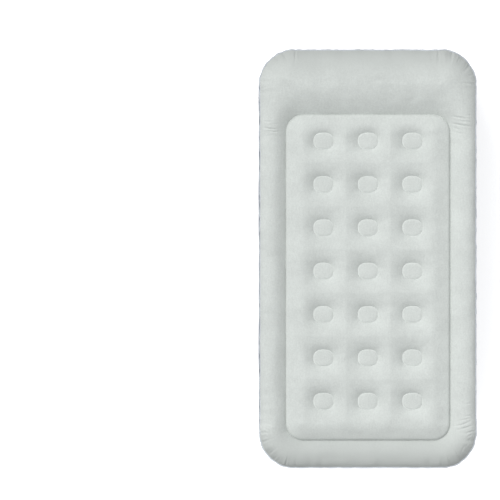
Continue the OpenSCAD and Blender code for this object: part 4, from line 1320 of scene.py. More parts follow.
class PrintedPanels(bpy.types.Operator):
    """Print the two plain panels on the pump end's wall"""

    bl_idname = "mattress.printed_panels"
    bl_label = "Printed panels"

    def execute(self, context):
        shape = context.scene.mattress_shape
        left = self.left_marks()
        right, ring = self.right_marks()
        for name, marks, around, node in (("left_panel_print", left, None, "left_print"),
                                          ("right_panel_print", right, ring, "right_print")):
            points, faces = self.on_wall(marks, around, shape)
            finish_piece(to_object(name, points, faces, 180), ROOT, (node,), finish("ink"))
        return {"FINISHED"}

    def left_marks(self):
        """A frame, a bar and two columns of dashes, as rectangles (s0, s1, z0, z1)."""
        s0, s1 = end_wall_s(LEFT_PRINT_LOW[0]), end_wall_s(LEFT_PRINT_HIGH[0])
        z0, z1 = LEFT_PRINT_LOW[2], LEFT_PRINT_HIGH[2]
        marks = self.outline(s0, s1, z0, z1)
        marks.append((s0 + 2.5, s1 - 2.5, z1 - 17, z1 - 2.5))
        middle = (s0 + s1) / 2
        for at, seed in ((s0 + 13, 501), (middle + 4, 509)):
            long = middle - s0 - 17
            for k, (down, ragged) in enumerate(((28, 0.12), (46, 0.5), (64, 0.6))):
                marks += self.lines(at, z1 - down, long, 2, 7.2, 2.0, seed + k, ragged)
            marks += [(at - 5, at - 3.2, z - 1, z + 0.8) for z in (z1 - 28, z1 - 46, z1 - 64)]
        return marks

    def right_marks(self):
        """A frame in two fields with bars and dashes, and the place of a ring (s, z, outer, inner radius)."""
        s0, s1 = end_wall_s(RIGHT_PRINT_LOW[0]), end_wall_s(RIGHT_PRINT_HIGH[0])
        z0, z1 = RIGHT_PRINT_LOW[2], RIGHT_PRINT_HIGH[2]
        part = s0 + (s1 - s0) * 0.42
        marks = self.outline(s0, s1, z0, z1)
        marks.append((part - 0.4, part + 0.5, z0, z1))
        marks.append((part + 2.5, s1 - 2.5, z1 - 16, z1 - 2.5))
        marks += self.lines(part + 7, z1 - 25, s1 - part - 14, 4, 7.0, 1.8, 521, 0.25)
        marks += self.lines(part + 7, z1 - 57, s1 - part - 14, 3, 7.0, 1.8, 523, 0.35)
        marks.append((part + 5, s1 - 5, z0 + 6, z0 + 9.5))
        marks.append((s0 + 12, part - 12, z0 + 8, z0 + 13))
        return marks, ((s0 + part) / 2, z0 + 56, 28.0, 25.2)

    def outline(self, s0, s1, z0, z1):
        """Four thin bars round a rectangle."""
        w = LINE_W
        return [(s0, s1, z0, z0 + w), (s0, s1, z1 - w, z1), (s0, s0 + w, z0, z1), (s1 - w, s1, z0, z1)]

    def lines(self, s0, z0, *rows):
        """Rows of plain dashes in place of writing."""
        return [(s0 + a, s0 + b, z0 + c, z0 + d) for a, b, c, d in printed_lines(*rows)]

    def barred_ring(self, flat, faces, ring):
        """Adds a ring with a slanting bar across it."""
        start, (cs, cz, outer, inner), n = len(flat), ring, 64
        for k in range(n):
            a = 2 * math.pi * k / n
            flat += [(cs + r * math.cos(a), cz + r * math.sin(a)) for r in (inner, outer)]
        for k in range(n):
            here, there = start + 2 * k, start + 2 * ((k + 1) % n)
            faces.append((here, here + 1, there + 1, there))
        start, half, w = len(flat), inner + 0.5, 1.7
        for k in range(9):
            u = -half + 2 * half * k / 8
            flat += [(cs + (u - v) * SLANT, cz - (u + v) * SLANT) for v in (-w, w)]
        faces += [(start + 2 * k, start + 2 * k + 1, start + 2 * k + 3, start + 2 * k + 2) for k in range(8)]

    def on_wall(self, marks, ring, shape):
        """Lays rectangles given as (s0, s1, z0, z1), and a ring if there is one, on the middle tier."""
        flat, faces = [], []
        for s0, s1, z0, z1 in marks:
            cols = max(1, int(abs(s1 - s0) / 7)) + 1
            rows = max(1, int(abs(z1 - z0) / 8)) + 1
            start = len(flat)
            for z in np.linspace(z0, z1, rows):
                flat += [(s, z) for s in np.linspace(s0, s1, cols)]
            faces += [(start + r * cols + c, start + r * cols + c + 1, start + (r + 1) * cols + c + 1,
                       start + (r + 1) * cols + c) for r in range(rows - 1) for c in range(cols - 1)]
        if ring is not None:
            self.barred_ring(flat, faces, ring)
        flat = np.array(flat)
        t = np.array([MIDDLE.t_at(z) for z in flat[:, 1]])
        points = MIDDLE.surface(flat[:, 0], t, middle_push(flat[:, 0], t, shape) + PRINT_LIFT)
        return points, [self.facing_out(points, f) for f in faces]

    @staticmethod
    def facing_out(points, face):
        """A face's corners in the order that makes it look away from the mattress."""
        a, b, c = (points[i] for i in face[:3])
        normal = np.cross(b - a, c - a)
        _, n = FOOTPRINT.walk(FOOTPRINT.nearest(a[0], a[1]))
        return face if normal[0] * n[0] + normal[1] * n[1] > 0 else face[::-1]


# ---------------------------------------------------------------- geometry nodes for what repeats


def node_tree(name, inputs):
    """An empty geometry node tree with float, integer or material inputs and one geometry output."""
    tree = bpy.data.node_groups.new(name, "GeometryNodeTree")
    tree.is_modifier = True
    for label, kind in inputs.items():
        tree.interface.new_socket(label, in_out="INPUT", socket_type=kind)
    tree.interface.new_socket("Geometry", in_out="OUTPUT", socket_type="NodeSocketGeometry")
    return tree, tree.nodes.new("NodeGroupInput"), tree.nodes.new("NodeGroupOutput")


def run_nodes(name, tree, **values):
    """Evaluates a geometry node tree on an empty mesh and returns the result as a plain object."""
    carrier = bpy.data.objects.new(name + "_carrier", bpy.data.meshes.new(name + "_carrier"))
    bpy.context.scene.collection.objects.link(carrier)
    modifier = carrier.modifiers.new("nodes", "NODES")
    modifier.node_group = tree
    sockets = {i.name: i.identifier for i in tree.interface.items_tree if i.in_out == "INPUT"}
    for label, value in values.items():
        modifier[sockets[label.replace("_", " ")]] = value
    graph = bpy.context.evaluated_depsgraph_get()
    mesh = bpy.data.meshes.new_from_object(carrier.evaluated_get(graph))
    carrier.modifiers.clear()
    bpy.data.objects.remove(carrier)
    mesh.name = name
    obj = bpy.data.objects.new(name, mesh)
    bpy.context.scene.collection.objects.link(obj)
    return obj


def end_tree(tree, geometry, given, out):
    """Realizes the instances and sets the finish."""
    real = add_node(tree, "GeometryNodeRealizeInstances", Geometry=geometry)
    paint = add_node(tree, "GeometryNodeSetMaterial", Geometry=real.outputs["Geometry"],
                     Material=given.outputs["Finish"])
    feed(tree, out, Geometry=paint.outputs["Geometry"])


DASH_WIDTHS = (1.6, 8.2)
DASH_GAP = 1.5
DASH_SPACE = 2.4


def printed_line_tree():
    """Ragged rows of plain dashes of mixed lengths, laid end to end with a gap between them."""
    tree, given, out = node_tree("Printed lines", {
        "Length": "NodeSocketFloat", "Columns": "NodeSocketInt", "Rows": "NodeSocketInt",
        "Pitch": "NodeSocketFloat", "Gap": "NodeSocketFloat", "Dash height": "NodeSocketFloat",
        "Ragged": "NodeSocketFloat", "Seed": "NodeSocketInt", "Finish": "NodeSocketMaterial"})
    asked = given.outputs

    def add(kind, **inputs):
        return add_node(tree, kind, **inputs)

    def work(operation, a, b):
        return math_node(tree, operation, a, b)

    grid = add("GeometryNodeMeshGrid", Vertices_X=asked["Columns"], Vertices_Y=asked["Rows"])
    points = add("GeometryNodeMeshToPoints", Mesh=grid.outputs["Mesh"])
    row = work("MODULO", add("GeometryNodeInputIndex").outputs["Index"], asked["Rows"])
    # every dash keeps its own width, and starts where the ones before it in its row end
    wide = add("FunctionNodeRandomValue", Seed=asked["Seed"])
    wide.inputs[2].default_value, wide.inputs[3].default_value = DASH_WIDTHS
    sized = add("GeometryNodeStoreNamedAttribute", Geometry=points.outputs["Points"], Name="wide",
                Value=wide.outputs[1])
    width = add("GeometryNodeInputNamedAttribute", Name="wide").outputs["Attribute"]
    before = add("GeometryNodeAccumulateField", Value=work("ADD", width, asked["Gap"]),
                 Group_ID=row).outputs["Trailing"]
    place = add("ShaderNodeCombineXYZ", X=work("ADD", before, work("MULTIPLY", width, 0.5)),
                Y=work("MULTIPLY", row, work("MULTIPLY", asked["Pitch"], -1.0)))
    moved = add("GeometryNodeSetPosition", Geometry=sized.outputs["Geometry"], Position=place.outputs["Vector"])
    # dashes past a row's ragged end are left out
    short = add("FunctionNodeRandomValue", ID=row, Seed=asked["Seed"]).outputs[1]
    end = work("MULTIPLY", asked["Length"], work("SUBTRACT", 1.0, work("MULTIPLY", short, asked["Ragged"])))
    kept = add("GeometryNodeDeleteGeometry", Geometry=moved.outputs["Geometry"],
               Selection=work("GREATER_THAN", work("ADD", before, width), end))
    dash = add("GeometryNodeMeshGrid", Vertices_X=2, Vertices_Y=2, Size_X=1.0, Size_Y=1.0)
    size = add("ShaderNodeCombineXYZ", X=width, Y=asked["Dash height"], Z=1.0)
    copies = add("GeometryNodeInstanceOnPoints", Points=kept.outputs["Geometry"], Instance=dash.outputs["Mesh"],
                 Scale=size.outputs["Vector"])
    end_tree(tree, copies.outputs["Instances"], given, out)
    return tree


def printed_lines(length, rows, pitch, tall, seed, ragged):
    """Rectangles (x0, x1, z0, z1) of rows of dashes that run down from 0."""
    tree = bpy.data.node_groups.get("Printed lines") or printed_line_tree()
    obj = run_nodes("dashes", tree, Length=length, Columns=int(length / DASH_SPACE), Rows=rows, Pitch=pitch,
                    Gap=DASH_GAP, Dash_height=tall, Ragged=ragged, Seed=seed, Finish=finish("ink"))
    found = []
    for polygon in obj.data.polygons:
        co = np.array([obj.data.vertices[v].co for v in polygon.vertices])
        found.append((co[:, 0].min(), co[:, 0].max(), co[:, 1].min(), co[:, 1].max()))
    bpy.data.objects.remove(obj)
    return found


def moved_to(obj, centre):
    """Moves an object's mesh to its place in millimetres and shades it."""
    for v in obj.data.vertices:
        v.co += Vector(centre) * MM
    obj.data.shade_smooth()
    obj.data.set_sharp_from_angle(angle=math.radians(35))
    return obj


def rib_tree():
    """Round bars set on end round a circle in the XZ plane."""
    tree, given, out = node_tree("Ring of ribs", {
        "Radius": "NodeSocketFloat", "Count": "NodeSocketInt", "Thick": "NodeSocketFloat",
        "Deep": "NodeSocketFloat", "Tall": "NodeSocketFloat", "Finish": "NodeSocketMaterial"})
    asked = given.outputs
    circle = add_node(tree, "GeometryNodeMeshCircle", Vertices=asked["Count"], Radius=asked["Radius"])
    points = add_node(tree, "GeometryNodeMeshToPoints", Mesh=circle.outputs["Mesh"])
    bar = add_node(tree, "GeometryNodeMeshCylinder", Vertices=10, Radius=0.5, Depth=1.0)
    size = add_node(tree, "ShaderNodeCombineXYZ", X=asked["Thick"], Y=asked["Deep"], Z=asked["Tall"])
    place = add_node(tree, "GeometryNodeInstanceOnPoints", Points=points.outputs["Points"],
                     Instance=bar.outputs["Mesh"], Scale=size.outputs["Vector"])
    turn = add_node(tree, "GeometryNodeTransform", Geometry=place.outputs["Instances"],
                    Rotation=(math.pi / 2, 0, 0))
    end_tree(tree, turn.outputs["Geometry"], given, out)
    return tree


def ring_of_ribs(name, centre, radius, count, rib, material):
    """Ribs set round a circle by geometry nodes; rib is (thick, deep, tall) in millimetres."""
    thick, deep, tall = rib
    obj = run_nodes(name, rib_tree(), Radius=radius * MM, Count=count, Thick=thick * MM, Deep=deep * MM,
                    Tall=tall * MM, Finish=material)
    return moved_to(obj, centre)


def screw_tree():
    """One screw head at each corner of an upright rectangle, each turned further than the last."""
    tree, given, out = node_tree("Screws at points", {
        "Head": "NodeSocketObject", "Across": "NodeSocketFloat", "Up": "NodeSocketFloat",
        "Turn": "NodeSocketFloat", "Finish": "NodeSocketMaterial"})
    asked = given.outputs
    info = add_node(tree, "GeometryNodeObjectInfo", Object=asked["Head"])
    four = add_node(tree, "GeometryNodeMeshGrid", Vertices_X=2, Vertices_Y=2, Size_X=asked["Across"],
                    Size_Y=asked["Up"])
    upright = add_node(tree, "GeometryNodeTransform", Geometry=four.outputs["Mesh"],
                       Rotation=(math.pi / 2, 0, 0))
    points = add_node(tree, "GeometryNodeMeshToPoints", Mesh=upright.outputs["Geometry"])
    index = add_node(tree, "GeometryNodeInputIndex").outputs["Index"]
    angle = add_node(tree, "ShaderNodeCombineXYZ", Y=math_node(tree, "MULTIPLY", index, asked["Turn"]))
    place = add_node(tree, "GeometryNodeInstanceOnPoints", Points=points.outputs["Points"],
                     Instance=info.outputs["Geometry"], Rotation=angle.outputs["Vector"])
    end_tree(tree, place.outputs["Instances"], given, out)
    return tree


def four_screws(name, low, high, depth, head_r, material):
    """Cross-head screws set at a rectangle's corners, each (x, z), by geometry nodes."""
    (x0, z0), (x1, z1) = low, high
    head = screw_head(head_r)
    obj = run_nodes(name, screw_tree(), Head=head, Across=(x1 - x0) * MM, Up=(z1 - z0) * MM, Turn=0.7,
                    Finish=material)
    bpy.data.objects.remove(head)
    return moved_to(obj, ((x0 + x1) / 2, depth, (z0 + z1) / 2))


def screw_head(r):
    """A pan head with a cross recess, facing -Y, at the origin."""
    profile = [(0.0, -0.55), (r * 0.4, -0.53), (r * 0.75, -0.4), (r * 0.93, -0.15), (r, 0.2), (r, 1.0),
               (0.0, 1.0)]
    points, faces = lathe(profile, (0, 0, 0), 32)
    cap = to_object("screw_head", points, faces, 35)
    weld(cap)
    cross = []
    for w, h in ((r * 0.62, r * 0.13), (r * 0.13, r * 0.62)):
        p, f = plate(Cut(0, 0, w, h, 0.1), [], -2.0, 0.1, 0.05, (0, 0, 0))
        cross.append(weld(to_object("recess", p, f, 35)))
    for tool in cross:
        cut = cap.modifiers.new("recess", "BOOLEAN")
        cut.operation, cut.solver, cut.object = "DIFFERENCE", "EXACT", tool
    graph = bpy.context.evaluated_depsgraph_get()
    mesh = bpy.data.meshes.new_from_object(cap.evaluated_get(graph))
    cap.modifiers.clear()
    cap.data = mesh
    for tool in cross:
        bpy.data.objects.remove(tool)
    cap.hide_render = True
    return cap


# ---------------------------------------------------------------- operators: the pump


def pump_point(x, depth, z):
    """A place given across, behind and above the fascia's middle."""
    return (PUMP[0] + x, PUMP[1] + depth, PUMP[2] + z)


SLOT_X, SLOT_W, SLOT_PITCH, SLOTS = 78.5, 21.0, 8.6, 7
DOOR_X = ((DOOR_LOW[0] + DOOR_HIGH[0]) / 2 - PUMP[0], (DOOR_HIGH[0] - DOOR_LOW[0]) / 2)
DOOR_Z = (DOOR_LOW[2] - PUMP[2] + 0.5, DOOR_HIGH[2] - PUMP[2])
SCREW_X, SCREW_Z, SCREW_R = (-90.0, 83.0), 40.0, 3.4
RIM_R, RIM_CORNER_STEPS, RIM_SIDE_STEPS = 24, 10, 14


class PumpRim(bpy.types.Operator):
    """Build the soft raised rim that is welded round the pump"""

    bl_idname = "mattress.pump_rim"
    bl_label = "Pump rim"

    def execute(self, context):
        half = ((RIM_HIGH[0] - RIM_LOW[0]) / 2, (RIM_HIGH[2] - RIM_LOW[2]) / 2)
        section = [(0.0, 1.2), (0.2, -0.6), (1.2, -1.6), (3.6, -2.7), (6.4, -3.6), (9.0, -4.5), (11.2, -5.5),
                   (13.2, -6.5), (15.0, -7.0), (16.2, -7.1), (17.4, -6.7), (18.8, -5.4), (19.6, -3.2),
                   (20.1, 0.0), (20.6, 4.5), (21.0, 8.0), (21.0, 11.0), (21.8, 11.2)]
        profile = [(inset, MIDDLE_LOW[1] - PUMP[1] + depth) for inset, depth in section]
        points, faces = swept_frame(half, RIM_R, profile, pump_point(0, 0, 0), RIM_CORNER_STEPS, RIM_SIDE_STEPS)
        ring = len(points) // len(section)
        # its outer edge lies on the round wall, its inner edge round the flat fascia
        for k, (x, y, z) in enumerate(points):
            points[k] = (x, y + (1 - ease(section[k // ring][0] / 15.0)) * wall_sag(z), z)
        rim = weld(to_object("pump_rim", points, faces, 180), outward=False)
        self.face_front(rim)
        # the rim's finish is the navy film lightened: a painted highlight on the raised rim
        finish_piece(rim, ROOT, ("pump_frame",), finish("rim"))
        return {"FINISHED"}

    @staticmethod
    def face_front(obj):
        """Turns the sheet so that its face looks away from the mattress."""
        total = sum(p.normal.y * p.area for p in obj.data.polygons)
        if total > 0:
            obj.data.flip_normals()


class PumpFascia(bpy.types.Operator):
    """Build the pump's fascia with its intake slots, dial plate, printed dial marks and screws"""

    bl_idname = "mattress.pump_fascia"
    bl_label = "Fascia"

    def execute(self, context):
        w, h = (FASCIA_HIGH[0] - FASCIA_LOW[0]) / 2, (FASCIA_HIGH[2] - FASCIA_LOW[2]) / 2
        deep = FASCIA_HIGH[1] - FASCIA_LOW[1]
        door = Cut(DOOR_X[0], (DOOR_Z[0] + DOOR_Z[1]) / 2 - 1.0, DOOR_X[1] + 0.4,
                   (DOOR_Z[1] - DOOR_Z[0]) / 2 + 1.7, 1.2)
        insert = Cut((DIAL_PLATE_LOW[0] + DIAL_PLATE_HIGH[0]) / 2 - PUMP[0], 0,
                     (DIAL_PLATE_HIGH[0] - DIAL_PLATE_LOW[0]) / 2,
                     (DIAL_PLATE_HIGH[2] - DIAL_PLATE_LOW[2]) / 2, 1.0)
        slots = [Cut(SLOT_X, (k - (SLOTS - 1) / 2) * SLOT_PITCH, SLOT_W / 2, 1.6, 1.5) for k in range(SLOTS)]
        points, faces = plate(Cut(0, 0, w, h, 6), [door, *slots], 0, deep, 0.7, pump_point(0, 0, 0),
                              blind=[(insert, 0.9)])
        body = weld(to_object("fascia", points, faces, 35))
        finish_piece(body, ROOT, ("fascia_plate",), finish("plastic"))
        self.dark_grille()
        self.dial_insert(insert)
        self.marks()
        left, right = SCREW_X
        screws = four_screws("fascia_screw_heads", (PUMP[0] + left, PUMP[2] - SCREW_Z),
                             (PUMP[0] + right, PUMP[2] + SCREW_Z), PUMP[1], SCREW_R, finish("dark steel"))
        finish_piece(screws, ROOT, ("fascia_screws",))
        return {"FINISHED"}

    def dark_grille(self):
        """Ribs behind the intake slots, so that they don't look into an empty case."""
        tall = SLOTS * SLOT_PITCH / 2
        points, faces = plate(Cut(SLOT_X, 0, SLOT_W / 2 + 2, tall, 1.0),
                              [Cut(SLOT_X + dx, 0, 1.6, tall - 3, 0.8) for dx in (-8, -3, 2, 7)],
                              3.2, 4.4, 0.2, pump_point(0, 0, 0))
        grille = weld(to_object("intake_screen", points, faces, 35))
        finish_piece(grille, ROOT, (), finish("rubber"))

    def dial_insert(self, insert):
        """The glossy dial plate, a hair smaller than its pocket."""
        outline = Cut(insert.x, insert.z, insert.w - 0.25, insert.h - 0.25, 0.9)
        points, faces = plate(outline, [], 0.15, 0.9, 0.25, pump_point(0, 0, 0))
        obj = weld(to_object("dial_insert", points, faces, 35))
        finish_piece(obj, ROOT, ("dial_plate",), finish("gloss black"))

    def marks(self):
        """Two white arcs beside the dial, a cross, an arrow up and one down, and three plain bars."""
        points, faces = [], []

        def band(path, wide):
            """A ribbon along a path in (x, z)."""
            path = np.array(path, float)
            tangent = np.gradient(path, axis=0)
            tangent /= np.hypot(*tangent.T)[:, None]
            side = np.c_[-tangent[:, 1], tangent[:, 0]] * wide / 2
            start = len(points)
            for p, d in zip(path, side):
                points.append(pump_point(p[0] + d[0], 0.1, p[1] + d[1]))
                points.append(pump_point(p[0] - d[0], 0.1, p[1] - d[1]))
            for k in range(len(path) - 1):
                faces.append((start + 2 * k, start + 2 * k + 1, start + 2 * k + 3, start + 2 * k + 2))

        def arc(radius, a0, a1, count=24):
            a = np.radians(np.linspace(a0, a1, count))
            return [(DIAL_X + radius * math.cos(t), radius * math.sin(t)) for t in a]

        for a0, a1 in ((188, 236), (124, 172)):
            band(arc(33.5, a0, a1), 1.7)
        band([(DIAL_X - 46, 0), (DIAL_X - 37.5, 0)], 1.9)
        band([(DIAL_X - 42, -3.4), (DIAL_X - 42, 3.4)], 1.9)
        for sign in (1, -1):
            x, z = DIAL_X - 22.5, sign * 33.5
            band([(x - 6.5, z + sign * 3.5), (x, z), (x + 6.5, z + sign * 3.5)], 1.8)
            band([(x, z - sign * 6), (x, z)], 1.8)
        for a, b in ((-27.5, -19), (-17.5, -12.5), (-11, -2.5)):
            band([(a, -26.5), (b, -26.5)], 4.2)
        obj = to_object("dial_marks", points, faces, 180)
        PumpRim.face_front(obj)
        weld(obj, outward=False)
        finish_piece(obj, ROOT, (), finish("ink"))


class DialKnob(bpy.types.Operator):
    """Build the dial knob: a skirt with a pointer dot and a domed, ribbed grip"""

    bl_idname = "mattress.dial_knob"
    bl_label = "Dial knob"

    def execute(self, context):
        centre = pump_point(DIAL_X, 0, 0)
        skirt = (KNOB_HIGH[0] - KNOB_LOW[0]) / 2
        front = KNOB_LOW[1] - PUMP[1]
        profile = [(6.0, -0.5), (skirt - 1.2, -0.5), (skirt - 0.3, -0.9), (skirt, -1.8), (skirt - 0.2, -3.4),
                   (skirt - 1.0, -4.4), (skirt - 2.2, -4.9), (22.6, -4.7), (21.4, -4.5), (20.6, -5.0),
                   (20.1, -6.2), (19.7, -8.0), (19.2, -10.0), (18.4, -11.6), (17.2, -12.6),
                   (15.9, front + 0.25), (14.6, front + 0.3), (13.0, front + 0.9), (10.6, front + 1.8),
                   (7.4, front + 2.5), (3.8, front + 2.9), (0.0, front + 3.0)]
        points, faces = lathe(profile, centre, 96)
        knob = weld(to_object("dial_knob_body", points, faces, 50))
        knob.data.materials.append(finish("knob plastic"))
        ribs = ring_of_ribs("grip_ribs", pump_point(DIAL_X, -8.0, 0), 19.1, 36, (1.5, 1.5, 5.6),
                            finish("knob plastic"))
        knob = join("dial_knob_top", [knob, ribs])
        finish_piece(knob, "dial", ("dial_knob",))
        dot, dot_faces = lathe([(1.9, -4.95), (1.9, -5.25), (1.5, -5.4), (0.0, -5.42)],
                               (centre[0] - 23.4, centre[1], centre[2]), 24)
        dot = weld(to_object("pointer_dot", dot, dot_faces, 50))
        finish_piece(dot, "dial", (), finish("ink"))
        return {"FINISHED"}


class CordDoor(bpy.types.Operator):
    """Build the door of the cord compartment"""

    bl_idname = "mattress.cord_door"
    bl_label = "Cord door"

    def execute(self, context):
        z0, z1 = DOOR_Z
        outline = Cut(DOOR_X[0], (z0 + z1) / 2, DOOR_X[1], (z1 - z0) / 2, 1.4)
        finger = Cut(DOOR_X[0], 29.7, 10.0, 2.7, 2.4)
        recess = Cut(DOOR_X[0] + 1.0, -3.0, 20.5, 23.5, 1.2)
        foot_slot = Cut(DOOR_X[0], -33.6, 15.0, 1.5, 1.3)
        points, faces = plate(outline, [finger], 0.3, 2.4, 0.5, pump_point(0, 0, 0),
                              blind=[(recess, 0.9), (foot_slot, 1.1)])
        panel = weld(to_object("door_panel", points, faces, 35))
        knuckles = []
        for side in (-1, 1):
            sleeve = [(1.3, -5), (2.3, -5), (2.4, -4.8), (2.4, 4.8), (2.3, 5), (1.3, 5), (1.3, -5)]
            p, f = lathe(sleeve, (0, 0, 0), 28)
            turned = [(DOOR_X[0] + side * 18 + y, 3.0 + x, DOOR_LOW[2] - PUMP[2] + 2.4 + z) for x, y, z in p]
            knuckles.append(weld(to_object("knuckle", [pump_point(*q) for q in turned], f, 40)))
        door = join("cord_door_panel", [panel, *knuckles])
        finish_piece(door, "cord_door", ("cord_door",), finish("door plastic"))
        p, f = plate(Cut(recess.x, recess.z, recess.w - 0.4, recess.h - 0.4, 0.9), [], 1.0, 1.3, 0.1,
                     pump_point(0, 0, 0))
        card = weld(to_object("door_card", p, f, 35))
        finish_piece(card, "cord_door", (), finish("label plastic"))
        printed = []
        for wide, tall, shift, up in ((8, 2.6, -13, 19), (9, 2.2, 11, 17), (10, 1.8, 11, 9), (31, 0.7, 0, 0),
                                      (31, 0.7, 0, -5), (22, 0.7, -4, -12), (26, 0.7, -2, -17)):
            mark = Cut(recess.x + shift, recess.z + up, wide / 2, tall, 0.4)
            p, f = plate(mark, [], 0.9, 1.02, 0.02, pump_point(0, 0, 0))
            printed.append(weld(to_object("door_mark", p, f, 35)))
        obj = join("door_card_print", printed)
        finish_piece(obj, "cord_door", (), finish("ink"))
        return {"FINISHED"}


# ---------------------------------------------------------------- operators: the valve


class ScrewValve(bpy.types.Operator):
    """Build the valve's welded cup and its screw cap"""

    bl_idname = "mattress.screw_valve"
    bl_label = "Screw valve"

    def execute(self, context):
        r = (VALVE_HIGH[0] - VALVE_LOW[0]) / 2
        cup = 28.0
        profile = [(r - 0.4, 0.8), (r, -0.2), (r - 0.4, -0.9), (r - 1.6, -1.3), (r - 2.6, -2.1),
                   (r - 3.6, -2.6), (r - 4.8, -2.5), (cup + 0.2, -1.5), (cup, 0.5), (cup - 0.3, 6.0),
                   (cup - 0.8, 12.5), (cup - 2.2, 15.6), (cup - 5.0, 16.4), (19.0, 16.5)]
        points, faces = lathe(profile, VALVE, 96)
        for k, (x, y, z) in enumerate(points):
            away = math.hypot(x - VALVE[0], z - VALVE[2])
            points[k] = (x, y + ease((away - cup) / 4.0) * wall_sag(z), z)
        obj = weld(to_object("valve_cup", points, faces, 60), outward=False)
        PumpRim.face_front(obj)
        # the cup's finish is the navy film lightened: a painted highlight on the welded ring
        finish_piece(obj, ROOT, ("valve_flange",), finish("valve ring with painted highlight"))
        self.cap()
        return {"FINISHED"}

    def cap(self):
        """A screw plug with a scalloped skirt and a raised cross grip."""
        r = (CAP_HIGH[0] - CAP_LOW[0]) / 2
        plug = 15.7

        def scallops(a, rr, depth):
            return -0.55 * (0.5 + 0.5 * math.cos(24 * a)) if rr > r - 1.5 and depth > 0.2 else 0.0

        profile = [(0.0, 12.0), (plug - 1.0, 12.0), (plug, 11.2), (plug, 2.0), (r - 0.6, 2.0), (r, 1.5),
                   (r, 0.6), (r - 0.5, 0.1), (r - 1.6, -0.1), (r - 3.4, 0.0), (r - 4.4, 0.5), (r - 7, 0.75),
                   (0.0, 0.8)]
        points, faces = lathe(profile, VALVE, 120, scallops)
        disc = weld(to_object("cap_disc", points, faces, 40))
        parts = [disc]
        for w, h, front in ((16.5, 3.4, -5.2), (4.2, 15.5, -5.0)):
            p, f = plate(Cut(0, 0, w, h, min(w, h) - 0.2), [], front, 0.9, 1.5, VALVE)
            parts.append(weld(to_object("grip", p, f, 45)))
        button = [(7.4, 0.9), (7.4, -4.5), (6.9, -5.2), (5.8, -5.45), (3.0, -5.5), (0.0, -5.5)]
        p, f = lathe(button, VALVE, 48)
        parts.append(weld(to_object("boss", p, f, 45)))
        cap = join("valve_screw_cap", parts)
        finish_piece(cap, "valve_cap", ("valve_cap",), finish("valve plastic"))


class HiddenParts(bpy.types.Operator):
    """Give every CAD part that keeps its own shape its finish"""

    bl_idname = "mattress.hidden_parts"
    bl_label = "Inner parts"

    KEPT = {
        "bottom_sheet": "base film", "upper_diaphragm": "inner film", "lower_diaphragm": "inner film",
        "coil_beams": "inner film", "baffle_ring": "inner film", "middle_beams": "inner film",
        "lower_beams": "inner film", "clamp_frame": "plastic", "fascia_gasket": "rubber",
        "pump_housing": "plastic", "door_pin": "steel", "cord_gland": "rubber", "selector_drum": "plastic",
        "air_sleeve": "plastic", "fan_scroll": "plastic", "fan_impeller": "fan nylon",
        "motor_shaft": "steel", "motor_can": "steel", "cut_off_switch": "gloss black",
        "outlet_flap": "silicone", "outlet_flap_pin": "steel", "valve_body": "valve plastic",
        "cap_seal": "rubber", "valve_flapper": "silicone", "flapper_pin": "steel",
    }

    def execute(self, context):
        for node, name in self.KEPT.items():
            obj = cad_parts[node]
            obj.data.materials.clear()
            obj.data.materials.append(finish(name))
        return {"FINISHED"}


# ---------------------------------------------------------------- operator: the stage


LIGHTS_AIM = (0.0, 0.0, 0.25)
FLOOR_HALF, FLOOR_Z = 60.0, -0.0005


